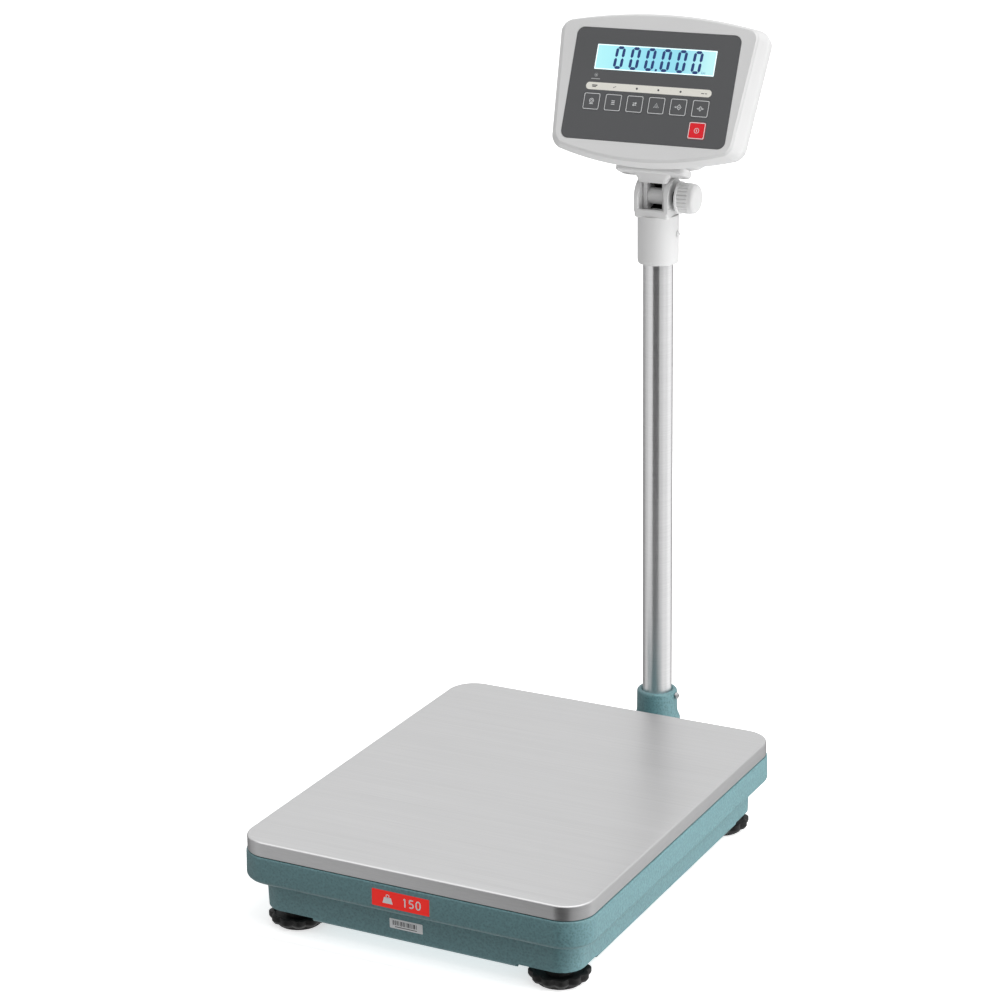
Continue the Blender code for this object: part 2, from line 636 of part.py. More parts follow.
# ---- the head's yoke and its tilt joint ----
def ear_outline(radius, half_low, low, steps=12):
    """An ear seen along the tilt axis: round above the axis, straight sides down to the low edge."""
    points = [(half_low, low)]
    points += [(radius * math.cos(math.pi * i / steps), radius * math.sin(math.pi * i / steps))
               for i in range(steps + 1)]
    points.append((-half_low, low))
    return points


def beside(sign, start):
    """A frame on the tilt axis: local X along world Y, local Y up, local Z outwards along X."""
    turn = Matrix(((0, 0, 1, 0), (1, 0, 0, 0), (0, 1, 0, 0), (0, 0, 0, 1)))
    return Matrix.Translation(TILT_AXIS + Vector((sign * start, 0, 0))) @ turn


def head_yoke(mat):
    """The moulding on top of the column: a collar, a fork floor with lips, and two round ears."""
    column = upright(0, COLUMN_Y, 0)
    collar = [(COLUMN_RADIUS + 0.0030, COLLAR_BOTTOM), (COLLAR_RADIUS - 0.0012, COLLAR_BOTTOM + 0.0008),
              (COLLAR_RADIUS, COLLAR_BOTTOM + 0.0035), (COLLAR_RADIUS, YOKE_BOTTOM + 0.001)]
    yoke = put("head_yoke", turned(collar, 28), column, mat)
    half_x = YOKE_HALF_WIDTH
    half_y = YOKE_HALF_DEPTH
    add(yoke, loft([rectangle(half_x - 0.0015, half_y - 0.0015, 0.0030, YOKE_BOTTOM, 3),
                    rectangle(half_x, half_y, 0.0040, YOKE_BOTTOM + 0.0015, 3),
                    rectangle(half_x, half_y, 0.0040, YOKE_LIP_TOP, 3)]), column)
    ear = ear_outline(half_y, half_y, YOKE_LIP_TOP - TILT_HEIGHT - 0.003)
    for sign in (-1, 1):
        start = YOKE_INNER if sign > 0 else YOKE_HALF_WIDTH
        add(yoke, extruded(ear, 0, YOKE_HALF_WIDTH - YOKE_INNER), beside(sign, start))
    cut(yoke, block((-YOKE_INNER, -0.0182, YOKE_FLOOR), (YOKE_INNER, 0.0182, YOKE_LIP_TOP + 0.01),
                    0.002, 2), column)
    cut(yoke, rod(TILT_BOLT_RADIUS + GAP, -0.04, 0.04, 16), along_x(*TILT_AXIS))
    cut(yoke, turned([(COLUMN_RADIUS + GAP, COLLAR_BOTTOM - 0.01), (COLUMN_RADIUS + GAP, 0.6503)], 28),
        column)
    cut(yoke, rod(0.0060, 0.64, 0.68, 16), column)
    cut(yoke, rod(0.0020, 0, 0.03, 12), along_x(COLUMN_RADIUS - 0.002, COLUMN_Y, COLLAR_SCREW_HEIGHT))


def tilt_fixings(metal, grey):
    """The cross bolt, the sleeve it passes through, the collar's screw and the washer."""
    left = YOKE_HALF_WIDTH + GAP
    axis = along_x(0, COLUMN_Y, TILT_HEIGHT)
    shank = TILT_BOLT_RADIUS
    put("tilt_bolt", turned([(0.0050, -left - 0.0034), (0.0078, -left - 0.0022), (0.0078, -left),
                             (shank, -left), (shank, 0.0380)], 24), axis, metal)
    bore = shank + GAP
    sleeve = TONGUE_INNER - GAP
    put("hinge_sleeve", turned([(bore, -sleeve), (SLEEVE_RADIUS, -sleeve), (SLEEVE_RADIUS, sleeve),
                                (bore, sleeve)], ROUND, True), axis, grey)
    put("knob_washer", turned([(bore, left), (WASHER_RADIUS, left), (WASHER_RADIUS, WASHER_END),
                               (bore, WASHER_END)], 24, True), axis, metal)
    hub = COLLAR_RADIUS + GAP
    frame = along_x(hub, COLUMN_Y, COLLAR_SCREW_HEIGHT)
    screw = put("yoke_screw", turned([(0.0034, 0), (0.0034, 0.0014), (0.0018, 0.0026)], 16), frame, metal)
    add(screw, rod(0.0017, -(hub - COLUMN_RADIUS - GAP), 0.001, 12), frame)
    cut(screw, rod(0.0010, 0.0012, 0.01, 6), frame)


def tilt_knob(mat):
    """A clamping knob with a thin rim, a ribbed barrel and a domed end."""
    rim = KNOB_RADIUS + 0.0012
    body = KNOB_RADIUS
    rings = [lobed(0.0150, 0, KNOB_START, KNOB_RIBS),
             lobed(rim - 0.0008, 0, KNOB_START + 0.0002, KNOB_RIBS),
             lobed(rim, 0, KNOB_START + 0.0010, KNOB_RIBS),
             lobed(rim - 0.0004, 0, KNOB_START + 0.0022, KNOB_RIBS),
             lobed(body, 0.0006, KNOB_START + 0.0028, KNOB_RIBS),
             lobed(body, 0.0006, KNOB_END - 0.0070, KNOB_RIBS),
             lobed(body - 0.0006, 0, KNOB_END - 0.0048, KNOB_RIBS),
             lobed(body - 0.0030, 0, KNOB_END - 0.0014, KNOB_RIBS),
             lobed(body - 0.0070, 0, KNOB_END, KNOB_RIBS)]
    axis = along_x(0, COLUMN_Y, TILT_HEIGHT)
    knob = put("tilt_knob", loft(rings), axis, mat)
    cut(knob, rod(TILT_BOLT_RADIUS + GAP, 0, 0.0400, 16), axis)


def tilt_bracket(mat, pivot):
    """The slab under the housing, its neck, two tongues between the yoke's ears, and their web."""
    def slab_ring(inset, drop):
        points = rectangle(SLAB_HALF_X - inset, SLAB_HALF_W - inset, 0.006, SLAB_TOP - drop, 4)
        return [(x, z, w + SLAB_MIDDLE) for x, w, z in points]

    rings = [slab_ring(0, 0), slab_ring(0, SLAB_THICKNESS - 0.0026),
             slab_ring(0.0008, SLAB_THICKNESS - 0.0008), slab_ring(0.0026, SLAB_THICKNESS)]
    bracket = put("tilt_bracket", loft(rings), FACE, mat, pivot)
    around = Matrix.Translation(TILT_AXIS)
    neck = [[(x, y - 0.006, z) for x, y, z in rectangle(half_x, half_y, 0.004, height, 3)]
            for half_x, half_y, height in ((0.0175, 0.0120, 0.0180), (0.0200, 0.0135, 0.0245),
                                           (0.0285, 0.0150, 0.0330))]
    add(bracket, loft(neck), around)
    cut(bracket, rod(NECK_CLEARANCE, -0.06, 0.06, 48), along_x(*TILT_AXIS))
    cut(bracket, block((-0.10, SLAB_TOP + 0.0001, -0.12), (0.10, 0.04, 0.02), 0.001, 1), FACE)
    arc = [(TONGUE_RADIUS * math.cos(math.radians(a)), TONGUE_RADIUS * math.sin(math.radians(a)))
           for a in range(240, 346, 15)]
    tongue = [(0.0110, 0.0240), (-0.0150, 0.0290), (-TONGUE_FRONT, 0.0200),
              (-TONGUE_FRONT, -0.0120)] + arc + [(0.0165, 0.0)]
    for sign in (-1, 1):
        start = TONGUE_INNER if sign > 0 else TONGUE_OUTER
        add(bracket, extruded(tongue, 0, TONGUE_OUTER - TONGUE_INNER), beside(sign, start))
    web = TONGUE_INNER + 0.0010
    add(bracket, block((-web, 0.0101, -0.0062), (web, 0.0124, 0.0172)), around)
    cut(bracket, rod(TILT_BOLT_RADIUS + GAP, -0.04, 0.04, 16), along_x(*TILT_AXIS))


# ---- the display head ----
FRONT_OUTLINES = (  # half width at top and bottom, top, bottom, crowns, corner, depth
    (0.1265, 0.1148, 0.0695, -0.0683, 0.0130, 0.0170, 0.0110, PARTING),
    (0.1278, 0.1160, 0.0710, -0.0700, 0.0140, 0.0185, 0.0115, -0.0150),
    (0.1262, 0.1142, 0.0710, -0.0697, 0.0140, 0.0182, 0.0110, -0.0105),
    (0.1200, 0.1086, 0.0703, -0.0680, 0.0128, 0.0168, 0.0100, -0.0022),
    (0.1176, 0.1062, 0.0692, -0.0667, 0.0114, 0.0152, 0.0095, 0.0),
)
REAR_OUTLINES = (
    (0.1265, 0.1148, 0.0695, -0.0683, 0.0130, 0.0170, 0.0110, PARTING - GAP),
    (0.1230, 0.1060, 0.0670, -0.0660, 0.0120, 0.0135, 0.0130, -0.0300),
    (0.1160, 0.0560, 0.0620, -0.0730, 0.0090, 0.0075, 0.0150, -0.0400),
    (0.0980, 0.0540, 0.0500, -0.0730, 0.0060, 0.0075, 0.0150, -0.0680),
    (0.0900, 0.0540, 0.0420, -0.0660, 0.0050, 0.0060, 0.0120, HOUSING_BACK),
)


def shell(outlines, end_inset):
    """A cup with an even wall: its inside first, then out over the rim and back along the outside."""
    inside = []
    for half_top, half_bottom, top, bottom, crown_top, crown_bottom, corner, depth in outlines:
        wall = SHELL_WALL
        inside.append(housing_outline(half_top - wall, half_bottom - wall, top - wall, bottom + wall,
                                      crown_top, crown_bottom, corner, depth))
    inside[-1] = [(x, y, z + end_inset) for x, y, z in inside[-1]]
    outside = [housing_outline(*outline) for outline in outlines]
    return loft(inside[::-1] + outside)


def key_places():
    """Each key's name and its centre on the face."""
    places = [(f"key_{name}", KEY_FIRST + i * KEY_PITCH, KEY_ROW_HEIGHT)
              for i, name in enumerate(KEY_NAMES)]
    places.append(("key_power", *POWER_KEY))
    return places


def front_housing(mat, pivot):
    front = put("front_housing", shell(FRONT_OUTLINES, -0.0027), FACE, mat, pivot)
    half_x = OVERLAY_WIDTH / 2 + GAP
    half_y = OVERLAY_HEIGHT / 2 + GAP
    cut(front, loft([rectangle(half_x, half_y, OVERLAY_CORNER, z) for z in (RECESS_FLOOR, 0.01)]), FACE)
    half_x = LCD_SIZE[0] / 2 + 0.0003
    half_y = LCD_SIZE[1] / 2 + 0.0003
    cut(front, loft([rectangle(half_x, half_y, 0.001, z, 1) for z in (-0.01, 0.01)]),
        FACE @ upright(*LCD_CENTRE, 0))
    for _, x, y in key_places():
        cut(front, loft([rectangle(*KEY_HOLE, 0.001, z, 1) for z in (-0.01, 0.01)]),
            FACE @ upright(x, y, 0))


def rear_housing(mat, pivot):
    rear = put("rear_housing", shell(REAR_OUTLINES, 0.0025), FACE, mat, pivot)
    for _, x, y, radius in rear_holes():
        cut(rear, rod(radius, -0.02, 0.02, 16), FACE @ upright(x, y, HOUSING_BACK))
    for x, y, z in bracket_screw_places():
        cut(rear, rod(0.0022, -0.02, 0.02, 12), FACE @ along_y(x, y, z))


def rear_holes():
    """Places on the flat back: the corner screws, the power inlet and the cable gland."""
    holes = [(f"housing_screw_{i + 1}", x, y, 0.0022)
             for i, (x, y) in enumerate(((-0.074, 0.034), (0.074, 0.034), (-0.046, -0.057),
                                         (0.046, -0.057)))]
    holes.append(("power_jack", 0.030, -0.058, 0.0060))
    holes.append(("cable_gland", -0.010, -0.058, 0.0063))
    return holes


def bracket_screw_places():
    return ((-0.0345, SLAB_TOP + 0.0009, -0.0490), (0.0345, SLAB_TOP + 0.0009, -0.0490))


def keypad_overlay(mat, pivot):
    half_x = OVERLAY_WIDTH / 2
    half_y = OVERLAY_HEIGHT / 2
    low = RECESS_FLOOR + GAP
    rings = [rectangle(half_x, half_y, OVERLAY_CORNER, low, 5),
             rectangle(half_x, half_y, OVERLAY_CORNER, 0.0001, 5)]
    overlay = put("keypad_overlay", loft(rings), FACE, mat, pivot)
    half_x = LCD_SIZE[0] / 2
    half_y = LCD_SIZE[1] / 2
    cut(overlay, loft([rectangle(half_x, half_y, 0.0005, z, 1) for z in (-0.01, 0.01)]),
        FACE @ upright(*LCD_CENTRE, 0))
    for _, x, y in key_places():
        half = (KEY_SIZE[0] / 2 + GAP, KEY_SIZE[1] / 2 + GAP)
        cut(overlay, loft([rectangle(*half, 0.0023, z, 3) for z in (-0.01, 0.01)]),
            FACE @ upright(x, y, 0))


def keys(mat, power_mat, pivot):
    """Each key: a thin cap level with the overlay, and a stem down to the board's switch."""
    half_x = KEY_SIZE[0] / 2
    half_y = KEY_SIZE[1] / 2
    low = RECESS_FLOOR + KEY_TRAVEL + 0.0001
    for name, x, y in key_places():
        rings = [rectangle(*KEY_STEM, 0.001, BOARD_FRONT + KEY_TRAVEL + 0.0001, 3),
                 rectangle(*KEY_STEM, 0.001, low, 3),
                 rectangle(half_x, half_y, 0.002, low, 3),
                 rectangle(half_x, half_y, 0.002, 0.0002, 3),
                 rectangle(half_x - 0.0003, half_y - 0.0003, 0.0018, 0.0004, 3)]
        put(name, loft(rings), FACE @ upright(x, y, 0), power_mat if name == "key_power" else mat, pivot)


def head_inside(mats, pivot):
    """Display module, board and battery."""
    half_x = LCD_SIZE[0] / 2 - GAP
    half_y = LCD_SIZE[1] / 2 - GAP
    put("lcd_display", loft([rectangle(half_x, half_y, 0.0005, z, 1) for z in (-0.0080, -0.0002)]),
        FACE @ upright(*LCD_CENTRE, 0), mats["lcd"], pivot)
    put("main_board", loft([rectangle(0.0900, 0.0560, 0.002, z, 2)
                            for z in (BOARD_FRONT - 0.0016, BOARD_FRONT)]),
        FACE @ upright(0, 0, 0), mats["board"], pivot)
    put("battery", block((-0.050, -0.055, -0.0640), (0.050, 0.015, -0.0180), 0.002), FACE,
        mats["black_plastic"], pivot)


def head_fixings(mats, pivot):
    for name, x, y, _ in rear_holes():
        frame = FACE @ upright(x, y, HOUSING_BACK - GAP) @ Matrix.Rotation(math.pi, 4, "X")
        if name.startswith("housing_screw"):
            screw = put(name, turned([(0.0017, -0.014), (0.0017, 0), (0.0036, 0), (0.0036, 0.0012),
                                      (0.0022, 0.0024)], 12), frame, mats["metal"], pivot)
            cut(screw, block((-0.0022, -0.0004, 0.0014), (0.0022, 0.0004, 0.01), 0.0001, 1), frame)
        elif name == "power_jack":
            jack = turned([(0.0057, -0.0080), (0.0057, 0), (0.0076, 0), (0.0076, 0.0010),
                           (0.0062, 0.0018), (0.0058, 0.0030), (0.0044, 0.0038)], 20)
            put(name, jack, frame, mats["black_plastic"], pivot)
        else:
            gland = turned([(0.0060, -0.0060), (0.0060, 0), (0.0090, 0), (0.0090, 0.0050),
                            (0.0078, 0.0060), (0.0066, 0.0130), (0.0050, 0.0160),
                            (0.0026, 0.0160), (0.0026, -0.0030)], 12)
            put(name, gland, frame, mats["black_plastic"], pivot)
    for number, (x, y, z) in enumerate(bracket_screw_places(), 1):
        seat = SLAB_TOP - SLAB_THICKNESS + SLAB_SCREW_SEAT
        frame = FACE @ along_y(x, seat - GAP, z) @ Matrix.Rotation(math.pi, 4, "X")
        screw = put(f"bracket_screw_{number}",
                    turned([(0.0017, -0.0140), (0.0017, 0), (0.0036, 0), (0.0036, 0.0012),
                            (0.0022, 0.0024)], 12), frame, mats["metal"], pivot)
        cut(screw, block((-0.0022, -0.0004, 0.0014), (0.0022, 0.0004, 0.01), 0.0001, 1), frame)
        bracket = bpy.data.objects["tilt_bracket"]
        cut(bracket, rod(0.0020, -0.02, 0.02, 12), FACE @ along_y(x, SLAB_TOP, z))
        cut(bracket, rod(0.0040, 0, 0.02), FACE @ along_y(x, seat, z) @ Matrix.Rotation(math.pi, 4, "X"))


# ---- the whole ----
def palette():
    return {
        "teal": material("hammer_paint", (0.10, 0.20, 0.21), 0.45),
        "steel": material("brushed_steel", (0.60, 0.60, 0.60), 0.30, 1.0),
        "tube": material("polished_steel", (0.66, 0.66, 0.66), 0.18, 1.0),
        "alloy": material("cast_alloy", (0.50, 0.51, 0.52), 0.45, 1.0),
        "metal": material("plated_steel", (0.42, 0.42, 0.43), 0.35, 1.0),
        "grey": material("grey_plastic", (0.72, 0.73, 0.73), 0.45),
        "panel": material("panel_film", (0.09, 0.09, 0.10), 0.45),
        "red": material("red_key", (0.80, 0.02, 0.03), 0.45),
        "lcd": material("display_glass", (0.45, 0.80, 0.88), 0.20),
        "board": material("circuit_board", (0.04, 0.20, 0.08), 0.50),
        "black_plastic": material("black_plastic", (0.02, 0.02, 0.02), 0.45),
        "rubber": material("black_rubber", (0.02, 0.02, 0.02), 0.75),
    }


def clear_scene():
    for obj in list(bpy.data.objects):
        bpy.data.objects.remove(obj, do_unlink=True)


def build():
    clear_scene()
    mats = palette()
    base_casting(mats["teal"])
    load_cell(mats["alloy"])
    cell_plates(mats["metal"], mats["metal"])
    spider_frame(mats["alloy"])
    overload_stops(mats["metal"])
    platter_pads(mats["rubber"])
    platter(mats["steel"])
    feet(mats["black_plastic"], mats["rubber"])
    wall = column_arm(mats["teal"])
    arm_fixings(wall, mats["metal"], mats["rubber"])
    column_tube(mats["tube"])
    cell_cable(mats["rubber"])
    head_yoke(mats["grey"])
    tilt_fixings(mats["metal"], mats["grey"])
    tilt_knob(mats["grey"])
    pivot = axis_empty("tilt_pivot", TILT_AXIS)
    tilt_bracket(mats["grey"], pivot)
    front_housing(mats["grey"], pivot)
    rear_housing(mats["grey"], pivot)
    keypad_overlay(mats["panel"], pivot)
    keys(mats["panel"], mats["red"], pivot)
    head_inside(mats, pivot)
    head_fixings(mats, pivot)


build()
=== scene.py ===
"""Looks of a column bench scale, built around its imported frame. Metres, +Z up."""
import json
import math

import bmesh
import bpy
from mathutils import Matrix, Vector


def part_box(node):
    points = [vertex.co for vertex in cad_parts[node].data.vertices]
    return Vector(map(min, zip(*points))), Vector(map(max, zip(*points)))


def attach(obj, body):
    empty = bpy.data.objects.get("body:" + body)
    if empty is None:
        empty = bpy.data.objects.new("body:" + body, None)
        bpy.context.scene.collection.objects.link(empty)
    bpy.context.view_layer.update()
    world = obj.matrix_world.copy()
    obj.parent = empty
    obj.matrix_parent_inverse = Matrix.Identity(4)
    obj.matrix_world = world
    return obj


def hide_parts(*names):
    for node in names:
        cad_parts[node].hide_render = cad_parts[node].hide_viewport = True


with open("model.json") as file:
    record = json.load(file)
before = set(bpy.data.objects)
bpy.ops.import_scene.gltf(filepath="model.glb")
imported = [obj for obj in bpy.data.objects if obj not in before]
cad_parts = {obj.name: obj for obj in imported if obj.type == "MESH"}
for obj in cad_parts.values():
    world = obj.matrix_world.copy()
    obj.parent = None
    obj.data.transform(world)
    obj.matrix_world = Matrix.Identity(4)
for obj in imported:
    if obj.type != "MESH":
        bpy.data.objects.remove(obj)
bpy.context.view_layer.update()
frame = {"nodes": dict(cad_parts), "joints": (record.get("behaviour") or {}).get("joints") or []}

NODES = frame["nodes"]
JOINTS = {joint["name"]: joint for joint in frame["joints"]}

# ---- places read from the frame ----
PLATTER_LOW, PLATTER_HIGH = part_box("platter")
BASE_LOW, BASE_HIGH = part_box("base_casting")
TUBE_LOW, TUBE_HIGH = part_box("column_tube")
ARM_LOW, ARM_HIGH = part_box("column_arm")
YOKE_LOW, YOKE_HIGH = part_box("head_yoke")
KNOB_LOW, KNOB_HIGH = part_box("tilt_knob")
MIDDLE = (PLATTER_LOW.y + PLATTER_HIGH.y) / 2
COLUMN_Y = (TUBE_LOW.y + TUBE_HIGH.y) / 2
TILT_AXIS = Vector(JOINTS["display_tilt"]["pos_m"])
INTO_PANEL = Vector(JOINTS["power_press"]["axis"]).normalized()
FACE_LEAN = math.asin(-INTO_PANEL.z)
OVERLAY_LOW, OVERLAY_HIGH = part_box("keypad_overlay")
OVERLAY_TOP = 0.0001            # the overlay's front, above the housing's face
OVERLAY_LOWER = -0.0009
FACE_ORIGIN = (OVERLAY_LOW + OVERLAY_HIGH) / 2 + INTO_PANEL * (OVERLAY_TOP + OVERLAY_LOWER) / 2
FACE = Matrix.Translation(FACE_ORIGIN) @ Matrix.Rotation(math.pi / 2 - FACE_LEAN, 4, "X")

# ---- dimensions that the design shares with these pieces ----
GAP = 0.0003
TIER_INSET = 0.0186
BAND_BOTTOM = 0.0572
WALL = 0.0035
FLOOR_TOP = 0.0300
NOTCH = (0.119, 0.178)
NOTCH_TOP = 0.0225
FOOT_PLACE = (0.1533, 0.2048)
STUD_RADIUS = 0.0050
BOSS_RADIUS = 0.0140
BOSS_TOP = 0.0460
CABLE_HEIGHT = 0.0400
ARM_BOLT = (0.048, 0.0380)
SOCKET_RADIUS = 0.0242
COLLAR_RADIUS = 0.0236
YOKE_BOTTOM = 0.6600
YOKE_FLOOR = 0.6640
YOKE_LIP_TOP = 0.6695
YOKE_HALF_WIDTH = 0.0208
YOKE_INNER = 0.0152
YOKE_HALF_DEPTH = 0.0215
TONGUE_INNER = 0.0092
TONGUE_OUTER = 0.0141
TONGUE_RADIUS = 0.0172
TONGUE_FRONT = 0.0098
NECK_CLEARANCE = 0.0223
BOLT_RADIUS = 0.0040
PARTING = -0.0260
HOUSING_BACK = -0.0750
LCD_CENTRE = (0.0007, 0.0310)
LCD_SIZE = (0.1460, 0.0290)
KEY_SIZE = (0.0200, 0.0190)
KEY_ROW = (-0.0684, 0.02656, -0.0204)
POWER_KEY = (0.0643, -0.0450)
KEY_NAMES = ("print", "function", "unit", "total", "tare", "zero")
OVERLAY_HALF = ((OVERLAY_HIGH.x - OVERLAY_LOW.x) / 2, 0.06375)
OVERLAY_CORNER = 0.009
SLAB_LOW, SLAB_HIGH = -0.0891, -0.0809      # the bracket's plate, below the face's middle
SLAB_DEPTH = -0.0490
SLAB_SCREW_X = 0.0345
SOCKET_SCREW_Z = 0.0790
YOKE_SCREW_Z = 0.6400
WHEEL_RADIUS = 0.0322
WHEEL_RIM = 0.0136
WHEEL_HUB = 0.0140
WHEEL_TOP = 0.0180
THREAD_PITCH = 0.0015
THREAD_DEPTH = 0.0008
BOARD_DISTANCE = 4.0            # how far the reflection boards stand from the column
BOARD_SPLIT = 0.3               # the height where the low boards end and the high ones start
PRINT_ON_KEY = (0.00035, 0.00048)
PRINT_ON_GLASS = (-0.00045, -0.00030)
THROUGH = 0.01                  # how far a cutter reaches past the face
MM = 0.001


# ---- frames ----
def upright(x, y, z):
    return Matrix.Translation((x, y, z))


def along_x(x, y, z):
    return Matrix.Translation((x, y, z)) @ Matrix.Rotation(math.pi / 2, 4, "Y")


def along_y(x, y, z):
    return Matrix.Translation((x, y, z)) @ Matrix.Rotation(-math.pi / 2, 4, "X")


def sideways(x, y, z):
    """Local X along world Y, local Y up, local Z along world X."""
    turn = Matrix(((0, 0, 1, 0), (1, 0, 0, 0), (0, 1, 0, 0), (0, 0, 0, 1)))
    return Matrix.Translation((x, y, z)) @ turn


def beside(start):
    """A sideways frame on the tilt axis."""
    return sideways(TILT_AXIS.x + start, TILT_AXIS.y, TILT_AXIS.z)


# ---- outlines ----
def circle(radius, height, steps=96):
    turn = 2 * math.pi / steps
    return [(radius * math.cos(i * turn), radius * math.sin(i * turn), height)
            for i in range(steps)]


def lobed(radius, depth, height, lobes, steps_per_lobe, sharpness):
    """A scalloped circle: full radius on each lobe, less the depth between lobes."""
    steps = lobes * steps_per_lobe
    points = []
    for i in range(steps):
        angle = 2 * math.pi * i / steps
        wave = 1 - abs(math.cos(lobes * angle / 2)) ** sharpness
        reach = radius - depth * wave
        points.append((reach * math.cos(angle), reach * math.sin(angle), height))
    return points


def rectangle(half_x, half_y, radius, height, corner_steps=12, edge_steps=(1, 1)):
    points = []
    for sign_x, sign_y, start, steps in ((1, 1, 0, edge_steps[0]), (-1, 1, 90, edge_steps[1]),
                                         (-1, -1, 180, edge_steps[0]), (1, -1, 270, edge_steps[1])):
        for i in range(corner_steps + 1):
            angle = math.radians(start + 90 * i / corner_steps)
            points.append((sign_x * (half_x - radius) + radius * math.cos(angle),
                           sign_y * (half_y - radius) + radius * math.sin(angle), height))
        end = Vector(points[-1])
        span = 2 * (half_x - radius) if start in (0, 180) else 2 * (half_y - radius)
        angle = math.radians(start + 180)
        for i in range(1, steps):
            points.append(tuple(end + Vector((math.cos(angle), math.sin(angle), 0)) * span * i / steps))
    return points


def rounded(corners, steps=6):
    """A profile of (reach, height, radius) corners, each with a radius turned into an arc."""
    profile = []
    for i, (x, y, radius) in enumerate(corners):
        here = Vector((x, y))
        if radius == 0 or i in (0, len(corners) - 1):
            profile.append((x, y))
            continue
        back = (Vector(corners[i - 1][:2]) - here).normalized()
        onward = (Vector(corners[i + 1][:2]) - here).normalized()
        half = back.angle(onward) / 2
        centre = here + (back + onward).normalized() * radius / math.sin(half)
        start = here + back * radius / math.tan(half) - centre
        end = here + onward * radius / math.tan(half) - centre
        sweep = start.angle_signed(end)
        for k in range(steps + 1):
            spot = start.copy()
            spot.rotate(Matrix.Rotation(-sweep * k / steps, 2))
            profile.append(tuple(centre + spot))
    return profile


def housing_outline(half_top, half_bottom, top, bottom, crown_top, crown_bottom, corner, depth):
    half_mean = (half_top + half_bottom) / 2
    half_height = (top - bottom) / 2
    middle = (top + bottom) / 2
    points = []
    for x, y, z in rectangle(half_mean, half_height, corner, depth, 10, (28, 14)):
        rise = y / half_height
        across = x / half_mean
        x = across * (half_mean + (half_top - half_bottom) / 2 * rise)
        crown = crown_top if rise > 0 else -crown_bottom
        points.append((x, middle + y + crown * (1 - across * across) * rise * rise, z))
    return points


# ---- meshes ----
def loft(rings, ring_shaped=False):
    bm = bmesh.new()
    loops = [[bm.verts.new(point) for point in ring] for ring in rings]
    pairs = list(zip(loops, loops[1:]))
    if ring_shaped:
        pairs.append((loops[-1], loops[0]))
    else:
        bm.faces.new(loops[0])
        bm.faces.new(loops[-1])
    for low, high in pairs:
        for i in range(len(low)):
            j = (i + 1) % len(low)
            bm.faces.new((low[i], low[j], high[j], high[i]))
    bmesh.ops.recalc_face_normals(bm, faces=bm.faces)
    return bm


def turned(profile, steps=96, ring_shaped=False):
    return loft([circle(radius, height, steps) for radius, height in profile], ring_shaped)


def rod(radius, low, high, steps=64):
    return turned([(radius, low), (radius, high)], steps)


def extruded(outline, low, high):
    return loft([[(x, y, z) for x, y in outline] for z in (low, high)])


def block(half_x, half_y, corner, low, high, corner_steps=12):
    """A straight block with rounded upright edges."""
    return loft([rectangle(half_x, half_y, corner, z, corner_steps) for z in (low, high)])


def band(half_x, half_y, corner, low, high, width, narrowing=0.0, corner_steps=3):
    """A low raised frame of one width around a rounded rectangle."""
    return loft([rectangle(half_x - w, half_y - w, corner - w * narrowing, z, corner_steps)
                 for w, z in ((0, low), (0, high), (width, high), (width, low))], True)


def prisms(outlines, low, high):
    """Several flat shapes extruded between two heights, in one mesh."""
    whole = bmesh.new()
    for outline in outlines:
        part = extruded(outline, low, high)
        mesh = bpy.data.meshes.new("part")
        part.to_mesh(mesh)
        part.free()
        whole.from_mesh(mesh)
        bpy.data.meshes.remove(mesh)
    return whole


# ---- pieces ----
def put(name, bm, where, mat, angle=32):
    """Makes a piece whose mesh is in world places, with its object at the origin."""
    mesh = bpy.data.meshes.new(name)
    bm.transform(where)
    bm.to_mesh(mesh)
    bm.free()
    mesh.shade_smooth()
    mesh.set_sharp_from_angle(angle=math.radians(angle))
    obj = bpy.data.objects.new(name, mesh)
    bpy.context.scene.collection.objects.link(obj)
    if mat:
        mesh.materials.append(mat)
    return obj


def combine(owner, operation, bm, where):
    """Cuts a body out of the owner, or adds one, and keeps the result as its mesh."""
    other = put("tool", bm, where, None)
    step = owner.modifiers.new(operation, "BOOLEAN")
    step.operation = operation
    step.solver = "EXACT"
    step.object = other
    graph = bpy.context.evaluated_depsgraph_get()
    result = bpy.data.meshes.new_from_object(owner.evaluated_get(graph))
    owner.modifiers.clear()
    owner.data = result
    bpy.data.objects.remove(other)


def cut(owner, bm, where):
    combine(owner, "DIFFERENCE", bm, where)


def add(owner, bm, where):
    combine(owner, "UNION", bm, where)


def dress(obj, body, slot, *replaced, angle=32):
    """The piece moves with a body and stands for CAD nodes. The slot argument is not used."""
    obj.data.shade_smooth()
    obj.data.set_sharp_from_angle(angle=math.radians(angle))
    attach(obj, body)
    if replaced:
        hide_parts(*replaced)
    return obj


